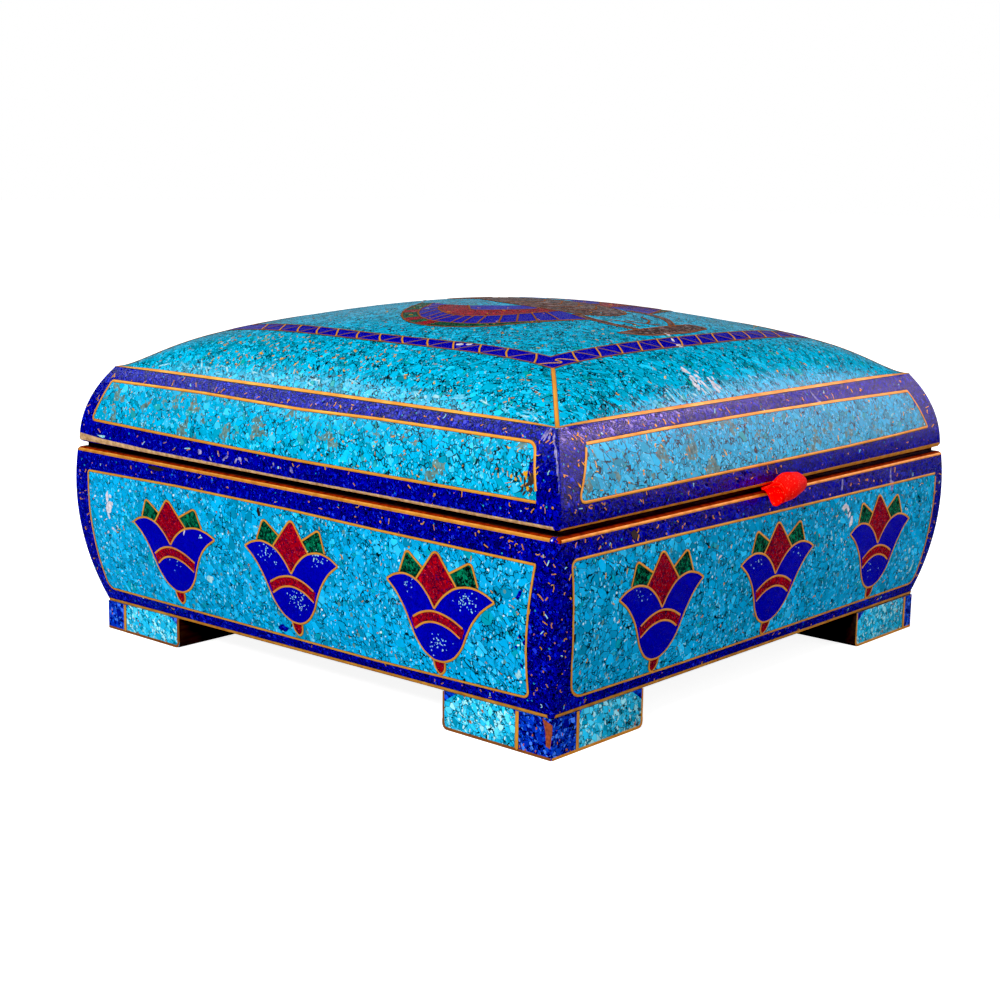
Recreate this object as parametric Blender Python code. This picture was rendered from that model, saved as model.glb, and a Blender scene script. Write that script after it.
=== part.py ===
"""Square jewelry box with inlaid walls: a footed tray and a pillow-shaped lift-off lid.

Metres, +Z up. The front, with the pull tab, faces -Y. The origin is on the surface the box
stands on, under the middle of its outline with the tab counted.
"""
import math

import bmesh
import bpy

# Tray
BODY_SIDE = 0.2024
BELLY_HEIGHT = 0.0368
WALL_CURVE_RADIUS = 0.112
BODY_HEIGHT = 0.0492
WALL = 0.0055
FLOOR = 0.004
INNER_COVE = 0.003

# Joint between tray and lid
RIM_ROUND = 0.0014
SEAT_WIDTH = 0.0026
LIP_HEIGHT = 0.0045
SEAT_GAP = 0.0003
LIP_CLEARANCE = 0.0003
LID_SETBACK = 0.0003
JOINT_HEIGHT = 0.0012

# Lid
SKIRT_HEIGHT = 0.0245
SKIRT_CURVE_RADIUS = 0.0392
LID_WALL = 0.005
LID_TOP = 0.004
DOME_RISE = 0.0128
DOME_POWER = 2.0
SHOULDER_RISE = 0.0099
SHOULDER_POWER = 9.0

# Feet
FOOT_SIDE = 0.037
FOOT_HEIGHT = 0.0114
FOOT_EDGE = 0.0004
FOOT_GAP = 0.0003

# Pull tab
TAB_WIDTH = 0.0125
TAB_OFF_CENTRE = -0.0025
TAB_REACH = 0.009
TAB_LOOP_HEIGHT = 0.009
TAB_THICKNESS = 0.00025
TAB_LAYER_GAP = 0.0001
TAB_TAIL_GAP = 0.0004
TAB_STANDOFF = 0.0004

# How finely the curves are cut
WALL_STEPS = 12
ROUND_STEPS = 4
SKIRT_STEPS = 8
DOME_CELLS = 20
DOME_EDGE_CROWDING = 1.6
TAB_STEPS = 28

# Places worked out from the sizes
BODY_HALF = BODY_SIDE / 2
BELLY_Z = FOOT_HEIGHT + BELLY_HEIGHT
RIM_Z = FOOT_HEIGHT + BODY_HEIGHT
LID_EDGE_Z = RIM_Z + JOINT_HEIGHT
SHOULDER_Z = LID_EDGE_Z + SKIRT_HEIGHT
LEDGE_Z = RIM_Z + LIP_HEIGHT + SEAT_GAP


def curve_half_width(z, widest, radius, centre_z, inset=0.0):
    """Half width at height z of a wall that curves about a level line inside it."""
    rise = z - centre_z
    return widest - radius + math.sqrt((radius - inset) ** 2 - rise ** 2)


def wall_half_width(z, inset=0.0):
    return curve_half_width(z, BODY_HALF, WALL_CURVE_RADIUS, BELLY_Z, inset)


RIM_HALF = wall_half_width(RIM_Z)
LID_HALF = RIM_HALF - LID_SETBACK
LIP_HALF = RIM_HALF - SEAT_WIDTH
FOOT_LINE_HALF = wall_half_width(FOOT_HEIGHT)
TAB_FRONT = LID_HALF + TAB_REACH
BOX_CENTRE_Y = (TAB_FRONT - BODY_HALF) / 2


def skirt_half_width(z, inset=0.0):
    return curve_half_width(z, LID_HALF, SKIRT_CURVE_RADIUS, LID_EDGE_Z, inset)


def steps_between(start, end, count):
    return [start + (end - start) * i / count for i in range(count + 1)]


def round_corner(centre, radius, start_deg, end_deg, count=ROUND_STEPS):
    """Points (half width, height) of an arc in the section plane."""
    return [(centre[0] + radius * math.cos(math.radians(a)),
             centre[1] + radius * math.sin(math.radians(a)))
            for a in steps_between(start_deg, end_deg, count)]


def material(name, color, roughness, metallic=0.0):
    mat = bpy.data.materials.new(name)
    mat.use_nodes = True
    shader = mat.node_tree.nodes["Principled BSDF"]
    shader.inputs["Base Color"].default_value = (*color, 1.0)
    shader.inputs["Roughness"].default_value = roughness
    shader.inputs["Metallic"].default_value = metallic
    mat.diffuse_color = (*color, 1.0)
    return mat


def new_object(name, bm, mat, place=(0.0, 0.0, 0.0)):
    """Store the mesh, shade its curves smooth and hang the object on the box's centre."""
    bmesh.ops.recalc_face_normals(bm, faces=bm.faces)
    mesh = bpy.data.meshes.new(name)
    bm.to_mesh(mesh)
    bm.free()
    mesh.shade_smooth()
    mesh.set_sharp_from_angle(angle=math.radians(30))
    mesh.materials.append(mat)
    obj = bpy.data.objects.new(name, mesh)
    obj.location = place
    obj.parent = BOX
    bpy.context.collection.objects.link(obj)
    return obj


def square_turned(section):
    """A section carried round a square, its corners mitred, by a spin of four steps."""
    bm = bmesh.new()
    verts = [bm.verts.new((half, half, z)) for half, z in section]
    edges = [bm.edges.new(pair) for pair in zip(verts, verts[1:])]
    bmesh.ops.spin(bm, geom=verts + edges, cent=(0, 0, 0), axis=(0, 0, 1),
                   angle=math.tau, steps=4, use_merge=True)
    bmesh.ops.remove_doubles(bm, verts=bm.verts, dist=1e-6)
    return bm


def body_section():
    """From the underside's middle, up the wall, over the rim and lip, and down to the floor."""
    floor_top = FOOT_HEIGHT + FLOOR
    wall_top = RIM_Z - RIM_ROUND
    outer = [(wall_half_width(z), z) for z in steps_between(FOOT_HEIGHT, wall_top, WALL_STEPS)]
    rim = round_corner((wall_half_width(wall_top) - RIM_ROUND, wall_top), RIM_ROUND, 0, 90)
    lip_top = RIM_Z + LIP_HEIGHT
    rim_inner_half = wall_half_width(RIM_Z, WALL)
    lip = [(LIP_HALF, RIM_Z), (LIP_HALF, lip_top), (rim_inner_half, lip_top)]
    cove_top = floor_top + INNER_COVE
    inner = [(wall_half_width(z, WALL), z)
             for z in steps_between(RIM_Z, cove_top, WALL_STEPS)]
    cove_half = wall_half_width(cove_top, WALL)
    cove = round_corner((cove_half - INNER_COVE, cove_top), INNER_COVE, 0, -90)
    return ([(0.0, FOOT_HEIGHT)] + outer + rim[1:] + lip + inner + cove[1:]
            + [(0.0, floor_top)])


def dome_grid(bm, half, edge_z):
    """A square grid raised to the pillow's form. Returns its outer edges."""
    before = set(bm.edges)
    made = bmesh.ops.create_grid(bm, x_segments=DOME_CELLS, y_segments=DOME_CELLS, size=1.0)
    for vert in made["verts"]:
        share = [math.copysign(1 - (1 - abs(c)) ** DOME_EDGE_CROWDING, c) for c in vert.co.xy]
        vert.co = (share[0] * half, share[1] * half, edge_z + dome_rise(*share))
    return [e for e in bm.edges if e not in before and e.is_boundary]


def dome_rise(u, v):
    """Height above the shoulder at shares u and v of the half width."""
    def product(power):
        return (1 - abs(u) ** power) * (1 - abs(v) ** power)
    return DOME_RISE * product(DOME_POWER) + SHOULDER_RISE * product(SHOULDER_POWER)


def lid_section():
    """From just under the outer shoulder down the skirt, round its edge and up inside."""
    skirt_foot = LID_EDGE_Z + RIM_ROUND
    outer = [(skirt_half_width(z), z)
             for z in steps_between(SHOULDER_Z, skirt_foot, SKIRT_STEPS)]
    edge = round_corner((skirt_half_width(skirt_foot) - RIM_ROUND, skirt_foot),
                        RIM_ROUND, 0, -90)
    rebate_half = LIP_HALF + LIP_CLEARANCE
    ledge_half = skirt_half_width(LEDGE_Z, LID_WALL)
    rebate = [(rebate_half, LID_EDGE_Z), (rebate_half, LEDGE_Z), (ledge_half, LEDGE_Z)]
    inner = [(skirt_half_width(z, LID_WALL), z)
             for z in steps_between(LEDGE_Z, SHOULDER_Z - LID_TOP, SKIRT_STEPS)]
    return outer[1:] + edge[1:] + rebate + inner[1:]


def lid_mesh():
    """The outer pillow, its edge drawn down through the section, then the inner pillow."""
    bm = bmesh.new()
    half = skirt_half_width(SHOULDER_Z)
    ring = dome_grid(bm, half, SHOULDER_Z)
    for next_half, z in lid_section():
        made = bmesh.ops.extrude_edge_only(bm, edges=ring)["geom"]
        for vert in (g for g in made if isinstance(g, bmesh.types.BMVert)):
            vert.co = (vert.co.x * next_half / half, vert.co.y * next_half / half, z)
        ring = [g for g in made if isinstance(g, bmesh.types.BMEdge)]
        half = next_half
    dome_grid(bm, half, SHOULDER_Z - LID_TOP)
    bmesh.ops.remove_doubles(bm, verts=bm.verts, dist=1e-5)
    return bm


def foot_mesh():
    bm = bmesh.new()
    block_height = FOOT_HEIGHT - FOOT_GAP
    bmesh.ops.create_cube(bm, size=1.0)
    bmesh.ops.scale(bm, verts=bm.verts, vec=(FOOT_SIDE, FOOT_SIDE, block_height))
    bmesh.ops.translate(bm, verts=bm.verts, vec=(0, 0, block_height / 2))
    bmesh.ops.bevel(bm, geom=bm.edges, offset=FOOT_EDGE, segments=1, profile=0.5,
                    affect="EDGES", material=-1)
    return bm


def tab_centre_line():
    """(y, z) from the tray's lip, out through the joint, round the loop and back again."""
    joint_z = RIM_Z + JOINT_HEIGHT / 2
    layer = (TAB_THICKNESS + TAB_LAYER_GAP) / 2
    tail_end = -(LIP_HALF + TAB_TAIL_GAP)
    mouth = -(RIM_HALF + TAB_STANDOFF)
    reach = TAB_FRONT + mouth - TAB_THICKNESS / 2
    loop = []
    for i in range(1, TAB_STEPS):
        turn = math.tau * i / TAB_STEPS
        out = reach * (1 - math.cos(turn)) / 2
        lift = (TAB_LOOP_HEIGHT / 2) * math.sin(turn) * math.sin(turn / 2) ** 0.4
        side = layer * math.cos(turn / 2)
        loop.append((mouth - out, joint_z + lift + side))
    return ([(tail_end, joint_z + layer), (mouth, joint_z + layer)] + loop
            + [(mouth, joint_z - layer), (tail_end, joint_z - layer)])


def tab_mesh():
    """The ribbon as a bare sheet, which gets its thickness from a modifier."""
    bm = bmesh.new()
    verts = [bm.verts.new((-TAB_WIDTH / 2, y, z)) for y, z in tab_centre_line()]
    edges = [bm.edges.new(pair) for pair in zip(verts, verts[1:])]
    made = bmesh.ops.extrude_edge_only(bm, edges=edges)["geom"]
    bmesh.ops.translate(bm, verts=[g for g in made if isinstance(g, bmesh.types.BMVert)],
                        vec=(TAB_WIDTH, 0, 0))
    return bm


for old in list(bpy.data.objects):
    bpy.data.objects.remove(old)

BOX = bpy.data.objects.new("box_centre", None)
BOX.location = (0.0, BOX_CENTRE_Y, 0.0)
bpy.context.collection.objects.link(BOX)

new_object("box_body", square_turned(body_section()),
           material("lapis_turquoise_body", (0.02, 0.35, 0.55), 0.3))
new_object("lid", lid_mesh(), material("lapis_turquoise_lid", (0.02, 0.40, 0.60), 0.25))

foot_middle = FOOT_LINE_HALF - FOOT_SIDE / 2
for end, y_side in (("front", -1), ("back", 1)):
    for side, x_side in (("left", -1), ("right", 1)):
        name = f"foot_{end}_{side}"
        new_object(name, foot_mesh(), material(name + "_inlay", (0.03, 0.10, 0.50), 0.35),
                   (x_side * foot_middle, y_side * foot_middle, 0.0))

tab = new_object("pull_tab", tab_mesh(), material("red_ribbon", (0.75, 0.01, 0.01), 0.7),
                 (TAB_OFF_CENTRE, 0.0, 0.0))
ribbon = tab.modifiers.new("ribbon thickness", "SOLIDIFY")
ribbon.thickness = TAB_THICKNESS
ribbon.offset = 0.0
ribbon.use_even_offset = True
bpy.context.view_layer.update()
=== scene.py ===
# %% [markdown]
# # An inlaid jewelry box
# The box is a footed tray with a pillow-shaped lid. Its outside is a skin of crushed turquoise and
# lapis set in resin, divided by flat brass wires and then sanded smooth. This lesson builds that
# skin in Blender around a model whose sizes are already fixed, which is loaded first.

# %% Load the fixed model
import math
import random

import bmesh
import bpy
from mathutils import Matrix, Vector
from mathutils.geometry import interpolate_bezier


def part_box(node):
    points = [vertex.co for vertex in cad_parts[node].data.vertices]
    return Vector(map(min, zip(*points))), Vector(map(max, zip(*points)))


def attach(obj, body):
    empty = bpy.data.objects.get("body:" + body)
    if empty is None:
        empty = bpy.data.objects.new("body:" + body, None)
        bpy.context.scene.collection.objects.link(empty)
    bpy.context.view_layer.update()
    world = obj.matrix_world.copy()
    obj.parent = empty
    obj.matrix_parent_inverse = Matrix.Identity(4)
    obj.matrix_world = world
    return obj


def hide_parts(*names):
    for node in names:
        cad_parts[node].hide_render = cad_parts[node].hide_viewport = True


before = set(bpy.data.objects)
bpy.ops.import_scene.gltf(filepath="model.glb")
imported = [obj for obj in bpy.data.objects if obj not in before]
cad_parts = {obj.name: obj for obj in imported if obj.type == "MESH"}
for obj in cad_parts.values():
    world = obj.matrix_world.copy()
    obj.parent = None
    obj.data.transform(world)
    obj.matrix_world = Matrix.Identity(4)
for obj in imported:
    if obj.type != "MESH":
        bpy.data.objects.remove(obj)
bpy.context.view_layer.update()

# %% [markdown]
# ## The sizes
# Everything below is drawn in millimetres, as on a maker's paper pattern, and is turned into metres
# only when a piece is finished. The main sizes are read from the fixed model, so the skin always
# fits it. Only the radii of the curved walls have to be repeated here.

# %% The sizes in millimetres
MM = 0.001
tray_low, tray_high = (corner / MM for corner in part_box("box_body"))
lid_low, lid_high = (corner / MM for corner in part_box("lid"))
foot_low, foot_high = (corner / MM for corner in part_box("foot_front_left"))
tab_low, tab_high = (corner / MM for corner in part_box("pull_tab"))

CENTRE_Y = (tray_low.y + tray_high.y) / 2
TRAY_HALF = (tray_high.x - tray_low.x) / 2
LID_HALF = (lid_high.x - lid_low.x) / 2
TRAY_FOOT_Z = tray_low.z
LID_EDGE_Z = lid_low.z
LID_TOP_Z = lid_high.z

BELLY_Z = 48.2
WALL_RADIUS = 112.0
RIM_Z = 60.6
RIM_ROUND = 1.4
LIP_HALF = 97.911
WALL = 5.5
FLOOR = 4.0
COVE = 3.0

SKIRT_RADIUS = 39.2
SHOULDER_Z = 86.3
LEDGE_Z = 65.4
LID_CLEARANCE = 0.3
LID_WALL = 5.0
DOME_RISE = 12.8
DOME_POWER = 2.0
SHOULDER_RISE = 9.9
SHOULDER_POWER = 9.0

print(f"tray {2 * TRAY_HALF:.1f} wide, lid top at {LID_TOP_Z:.1f}, centre moved by {CENTRE_Y:.2f}")

# %% [markdown]
# ## The forms of the walls
# Each wall is a slice of a barrel: it curves up and down but is straight from side to side. The
# lid's top is a pillow, made of a broad dome and a much flatter one that gives it its shoulders.
# These few formulas say how far out, or how high, the surface is. Every wire and stone is drawn
# flat and then bent onto the surface with them.

# %% The forms of the walls
def bulge(z, widest, radius, centre_z):
    """Half width at height z of a wall that curves about a level line inside it."""
    return widest - radius + math.sqrt(radius ** 2 - (z - centre_z) ** 2)


def eased_edge(z, edge_z, start_half):
    """Half width where a wall rounds over towards an edge RIM_ROUND away."""
    return start_half - RIM_ROUND + math.sqrt(max(0.0, RIM_ROUND ** 2 - (z - edge_z) ** 2))


def tray_half(z):
    wall_top = RIM_Z - RIM_ROUND
    if z > wall_top:
        return eased_edge(z, wall_top, bulge(wall_top, TRAY_HALF, WALL_RADIUS, BELLY_Z))
    return bulge(z, TRAY_HALF, WALL_RADIUS, BELLY_Z)


def skirt_half(z):
    skirt_foot = LID_EDGE_Z + RIM_ROUND
    if z < skirt_foot:
        return eased_edge(z, skirt_foot, bulge(skirt_foot, LID_HALF, SKIRT_RADIUS, LID_EDGE_Z))
    return bulge(z, LID_HALF, SKIRT_RADIUS, LID_EDGE_Z)


SHOULDER_HALF = skirt_half(SHOULDER_Z)


def dome_z(x, y):
    def pillow(power):
        return (1 - abs(x / SHOULDER_HALF) ** power) * (1 - abs(y / SHOULDER_HALF) ** power)
    return SHOULDER_Z + DOME_RISE * pillow(DOME_POWER) + SHOULDER_RISE * pillow(SHOULDER_POWER)


print(f"tray rim half width {tray_half(RIM_Z - RIM_ROUND):.2f}, shoulder {SHOULDER_HALF:.2f}")

# %% [markdown]
# ## The camera
# The camera stands where the photographer stood, a little above the box and turned towards its
# nearest corner. Its place was worked out from the box's corners in the picture.

# %% The camera
CAMERA_YAW = math.radians(-48.9034)
CAMERA_PITCH = math.radians(10.7449)
CAMERA_ROLL = math.radians(0.9507)
CAMERA_DISTANCE = 0.5679
CAMERA_AIM = (-0.00523, 0.04307)
SENSOR = 36.0
FOCAL_IN_PIXELS = 1723.288
PICTURE_PIXELS = 1000


def add_camera():
    """A camera that looks at a point on the box's axis, moved sideways by CAMERA_AIM[0]."""
    back = Vector((math.sin(CAMERA_YAW) * math.cos(CAMERA_PITCH),
                   -math.cos(CAMERA_YAW) * math.cos(CAMERA_PITCH), math.sin(CAMERA_PITCH)))
    right = Vector((math.cos(CAMERA_YAW), math.sin(CAMERA_YAW), 0.0))
    place = Vector((0.0, CENTRE_Y * MM, CAMERA_AIM[1])) + back * CAMERA_DISTANCE
    place += right * CAMERA_AIM[0]
    turn = Matrix((right, back.cross(right), back)).transposed().to_4x4()
    data = bpy.data.cameras.new("camera")
    data.sensor_width = SENSOR
    data.lens = SENSOR * FOCAL_IN_PIXELS / PICTURE_PIXELS
    camera = bpy.data.objects.new("camera", data)
    camera.matrix_world = (Matrix.Translation(place) @ turn
                           @ Matrix.Rotation(CAMERA_ROLL, 4, "Z"))
    bpy.context.scene.collection.objects.link(camera)
    bpy.context.scene.camera = camera
    return camera


camera = add_camera()
print("lens", round(camera.data.lens, 1), "mm at", [round(v, 3) for v in camera.location])

# %% [markdown]
# ## Node helpers
# A stone's colour comes from shader nodes. Writing a node tree line by line is long, so these small
# helpers add one node each and join it to what feeds it: a socket is linked, anything else is set.

# %% Node helpers
def feed(tree, socket, value):
    """Link a socket to another, or set it to a plain value."""
    if isinstance(value, bpy.types.NodeSocket):
        tree.links.new(value, socket)
    elif hasattr(value, "__len__") and len(value) == 3 and socket.type == "RGBA":
        socket.default_value = (*value, 1.0)
    else:
        socket.default_value = value


def add_node(tree, kind, inputs=None, **settings):
    node = tree.nodes.new("ShaderNode" + kind)
    for name, value in settings.items():
        setattr(node, name, value)
    for key, value in (inputs or {}).items():
        feed(tree, node.inputs[key], value)
    return node


def calculate(tree, operation, first, second=0.0):
    return add_node(tree, "Math", {0: first, 1: second}, operation=operation).outputs[0]


def between(tree, value, low, high, out_low=0.0, out_high=1.0):
    """The value's way from low to high, held inside the new range."""
    return add_node(tree, "MapRange",
                    {0: value, 1: low, 2: high, 3: out_low, 4: out_high}).outputs[0]


def mix_values(tree, share, first, second):
    return add_node(tree, "Mix", {0: share, 2: first, 3: second}).outputs[0]


def mix_colors(tree, share, first, second, blend="MIX"):
    return add_node(tree, "Mix", {0: share, 6: first, 7: second}, data_type="RGBA",
                    blend_type=blend).outputs[2]


def toned(tree, color, value):
    """The colour, made darker or lighter by a value."""
    grey = add_node(tree, "CombineColor", {0: value, 1: value, 2: value}).outputs[0]
    return mix_colors(tree, 1.0, color, grey, "MULTIPLY")


def parts_of(tree, color):
    """The three numbers that make up a colour."""
    return add_node(tree, "SeparateColor", {0: color}).outputs


def noise(tree, place, size_mm, detail=2.0, seed=0.0):
    """Soft noise whose blobs are about size_mm across."""
    node = add_node(tree, "TexNoise",
                    {"Vector": place, "W": seed, "Scale": 1 / (size_mm * MM), "Detail": detail},
                    noise_dimensions="4D")
    return node.outputs["Fac"]


def cells(tree, place, size_mm, feature="F1"):
    """The cells of crushed stone, about size_mm across."""
    return add_node(tree, "TexVoronoi", {"Vector": place, "Scale": 1 / (size_mm * MM)},
                    feature=feature)


def shades(tree, value, stops):
    """Steps of colour: each stop is (start, colour)."""
    ramp = add_node(tree, "ValToRGB", {0: value})
    ramp.color_ramp.interpolation = "CONSTANT"
    elements = ramp.color_ramp.elements
    while len(elements) < len(stops):
        elements.new(1.0)
    for element, (start, color) in zip(elements, stops):
        element.position = start
        element.color = (*color, 1.0)
    return ramp.outputs[0]


def new_material(name):
    """An empty material with its shader and its object coordinates."""
    material = bpy.data.materials.new(name)
    material.use_nodes = True
    tree = material.node_tree
    place = add_node(tree, "TexCoord").outputs["Object"]
    return material, tree, tree.nodes["Principled BSDF"], place


def set_shader(tree, shader, values):
    """Feed the shader's inputs, each by its name."""
    for name, value in values.items():
        feed(tree, shader.inputs[name], value)


def add_relief(tree, shader, height, rise_mm):
    """Light the surface as if it rose by rise_mm where the height is 1."""
    bump = add_node(tree, "Bump", {"Height": height, "Distance": rise_mm * MM})
    tree.links.new(bump.outputs[0], shader.inputs["Normal"])


# %% [markdown]
# ## Crushed stone
# The stone is sorted chips pressed into resin and polished. A Voronoi texture gives such chips: each
# cell gets one shade from a short list. Larger chips lie here and there over a bed of small ones,
# most of all near the front left corner. The resin shows as thin dark cracks of changing width, and
# as wider grey matrix where chips are scarce. Flecks are lone cells with a colour of their own.

# %% Crushed stone
# Where the coarse chips lie, in metres from the middle, and how far they reach from there
COARSE_CORNER = (-0.1, -0.096, 0.045)
COARSE_NEAR = 0.03
COARSE_FAR = 0.17
# How much of its cell a fleck fills, and how many cells it takes to cover a share of the surface
FLECK_REACH = 0.4
CELLS_PER_SHARE = 2.2


def chip_layer(tree, place, size_mm, turn, stretch):
    """Chips drawn out along one direction: their chance numbers, and how near their edge is."""
    drawn = add_node(tree, "Mapping", {"Vector": place, "Rotation": turn,
                                       "Scale": (stretch, 1.0, 1.0)}, vector_type="TEXTURE")
    chips = cells(tree, drawn.outputs[0], size_mm)
    edge = cells(tree, drawn.outputs[0], size_mm, "DISTANCE_TO_EDGE").outputs["Distance"]
    return chips.outputs["Color"], calculate(tree, "MULTIPLY", edge, size_mm)


def scattered(tree, place, size_mm, share, shift, stretch=1.0):
    """A mask of lone flecks, which cover about that share of the surface."""
    moved = add_node(tree, "Mapping", {"Vector": place, "Location": (shift, -shift, shift / 2),
                                       "Rotation": (0.0, shift * 90, shift * 55),
                                       "Scale": (stretch, 1.0, 1.0)}, vector_type="TEXTURE")
    node = cells(tree, moved.outputs[0], size_mm)
    # Only the middle of a cell is taken, so more cells are chosen to reach the share
    chosen = calculate(tree, "LESS_THAN", parts_of(tree, node.outputs["Color"])[0],
                       share * CELLS_PER_SHARE)
    near = calculate(tree, "LESS_THAN", node.outputs["Distance"], FLECK_REACH)
    return calculate(tree, "MULTIPLY", chosen, near)


def stone_material(name, chip_mm, colors, resin, crack=0.1, coarse=0.7, matrix=None, flecks=(),
                   stretch=1.8, cloud=0.12, light=(0.86, 1.12), roughness=0.2, height=0.03, polish=0.3):
    """Chips of one stone, about chip_mm long, in these shades, parted by cracks of resin.

    crack is the widest crack in mm, coarse the share of large chips at the front left corner,
    matrix a grey that fills the gaps in poor patches, and flecks a list of
    (size in mm, share of the surface, stretch, colour).
    """
    material, tree, shader, place = new_material(name)
    # The place wobbles a little, so that the chips' edges aren't quite straight
    wobble = add_node(tree, "TexNoise", {"Vector": place, "Scale": 1.4 / (chip_mm * MM)})
    centred = add_node(tree, "VectorMath", {0: wobble.outputs["Color"], 1: (0.5,) * 3},
                       operation="SUBTRACT").outputs[0]
    moved = add_node(tree, "VectorMath", {0: centred, 1: (0.35 * chip_mm * MM,) * 3, 2: place},
                     operation="MULTIPLY_ADD").outputs[0]
    # Where large chips lie on top of the small ones
    far = add_node(tree, "VectorMath", {0: place, 1: COARSE_CORNER},
                   operation="DISTANCE").outputs["Value"]
    corner_here = calculate(tree, "SUBTRACT", 1.0, between(tree, far, COARSE_NEAR, COARSE_FAR))
    patchy = between(tree, noise(tree, place, 9.0, 3.0, chip_mm), 0.4, 0.6, 0.25, 1.0)
    coarse_here = calculate(tree, "MULTIPLY", patchy,
                            mix_values(tree, corner_here, coarse * 0.4, coarse))
    small, small_edge = chip_layer(tree, moved, chip_mm * 0.5, (0.0, -0.6, 0.8), stretch * 0.85)
    large, large_edge = chip_layer(tree, moved, chip_mm, (0.0, 0.5, -0.7), stretch)
    on_top = calculate(tree, "LESS_THAN", parts_of(tree, large)[2], coarse_here)
    own_numbers = parts_of(tree, mix_colors(tree, on_top, small, large))
    edge = mix_values(tree, on_top, small_edge, large_edge)
    # Each chip has its own shade and brightness, and soft clouds lie over all of them
    value = between(tree, own_numbers[1], 0.0, 1.0, *light)
    for size, amount in ((22.0, cloud), (0.8, 0.1)):
        patch = between(tree, noise(tree, place, size, 3.0, size), 0.3, 0.7, 1 - amount, 1 + amount)
        value = calculate(tree, "MULTIPLY", value, patch)
    color = toned(tree, shades(tree, own_numbers[0], colors), value)
    # The cracks change in width, and are widest at the coarse corner
    changing = between(tree, noise(tree, place, chip_mm * 0.9, 2.0, 3.0), 0.4, 0.66, 0.12, 1.3)
    crack_here = calculate(tree, "MULTIPLY", changing, mix_values(tree, corner_here, crack * 0.55, crack))
    line = between(tree, calculate(tree, "DIVIDE", edge, crack_here), 0.55, 1.25, 1.0, 0.0)
    color = mix_colors(tree, line, color, resin)
    if matrix:
        poor = between(tree, noise(tree, place, 6.0, 4.0, 7.0), 0.58, 0.64, 0.0, 0.14 * chip_mm)
        bare = calculate(tree, "LESS_THAN", edge, poor)
        tone = between(tree, noise(tree, place, 1.3, 3.0, 5.0), 0.35, 0.65, 0.55, 1.25)
        color = mix_colors(tree, bare, color, toned(tree, matrix, tone))
    for number, (size, share, drawn_out, fleck_color) in enumerate(flecks):
        mask = scattered(tree, moved, size, share, 0.013 * (number + 1), drawn_out)
        color = mix_colors(tree, mask, color, fleck_color)
    set_shader(tree, shader, {
        "Base Color": color, "Specular IOR Level": polish,
        "Roughness": between(tree, own_numbers[2], 0.0, 1.0, roughness * 0.7, roughness * 1.4)})
    add_relief(tree, shader, between(tree, edge, 0.0, crack), height)
    return material


BLACK_RESIN = (0.0, 0.012, 0.02)
BRASS_FLECK = (0.62, 0.19, 0.025)
RUST_FLECK = (0.46, 0.12, 0.012)
CHALK = (0.6, 0.8, 0.9)
PALE_SLIVER = (0.22, 0.68, 0.95)
DARK_SLIVER = (0.0, 0.1, 0.17)

turquoise_fine = stone_material(
    "turquoise_fine", 2.2,
    [(0.0, (0.0, 0.24, 0.44)), (0.1, (0.0, 0.33, 0.64)), (0.36, (0.0, 0.39, 0.77)),
     (0.65, (0.003, 0.45, 0.87)), (0.86, (0.02, 0.54, 0.95)), (0.96, (0.0, 0.34, 0.48))],
    BLACK_RESIN, crack=0.115, coarse=0.75,
    flecks=[(0.5, 0.05, 2.8, PALE_SLIVER), (0.6, 0.02, 2.8, DARK_SLIVER), (0.8, 0.006, 2.0, CHALK),
            (1.5, 0.012, 1.3, (0.09, 0.24, 0.25)), (0.6, 0.004, 2.0, RUST_FLECK)])
turquoise_lid = stone_material(
    "turquoise_lid", 2.2,
    [(0.0, (0.0, 0.3, 0.47)), (0.12, (0.0, 0.4, 0.67)), (0.36, (0.0, 0.45, 0.79)),
     (0.62, (0.008, 0.5, 0.87)), (0.87, (0.04, 0.57, 0.93)), (0.97, (0.02, 0.38, 0.44))],
    (0.006, 0.016, 0.02), crack=0.12, coarse=0.6, matrix=(0.12, 0.23, 0.22), stretch=2.2,
    flecks=[(0.5, 0.05, 2.8, PALE_SLIVER), (0.6, 0.02, 2.4, DARK_SLIVER),
            (0.6, 0.006, 2.0, RUST_FLECK)])
turquoise_top = stone_material(
    "turquoise_top", 2.0,
    [(0.0, (0.0, 0.24, 0.36)), (0.12, (0.0, 0.37, 0.58)), (0.34, (0.0, 0.45, 0.73)),
     (0.62, (0.0, 0.51, 0.84)), (0.86, (0.012, 0.58, 0.92)), (0.97, (0.0, 0.36, 0.36))],
    BLACK_RESIN, crack=0.12, stretch=2.3,
    flecks=[(0.5, 0.03, 3.0, PALE_SLIVER), (0.6, 0.05, 3.0, (0.0, 0.035, 0.05)),
            (0.7, 0.012, 1.8, RUST_FLECK)])
turquoise_feet = stone_material(
    "turquoise_feet", 1.5,
    [(0.0, (0.0, 0.3, 0.5)), (0.12, (0.01, 0.48, 0.8)), (0.35, (0.02, 0.6, 0.97)),
     (0.6, (0.08, 0.7, 1.0)), (0.82, (0.34, 0.85, 1.0))],
    (0.0, 0.03, 0.045), crack=0.09, coarse=0.8, stretch=2.3,
    flecks=[(0.7, 0.05, 3.0, (0.5, 0.85, 0.95)), (0.8, 0.014, 2.0, RUST_FLECK),
            (0.6, 0.02, 2.6, BLACK_RESIN)])
lapis = stone_material(
    "lapis", 0.95,
    [(0.0, (0.0, 0.0, 0.13)), (0.12, (0.0, 0.001, 0.29)), (0.42, (0.001, 0.003, 0.42)),
     (0.74, (0.003, 0.01, 0.55)), (0.93, (0.014, 0.035, 0.72))],
    (0.0, 0.0, 0.012), crack=0.09, coarse=0.5, roughness=0.17,
    flecks=[(0.45, 0.002, 1.6, BRASS_FLECK), (0.6, 0.004, 1.3, (0.02, 0.3, 0.4))])
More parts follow.
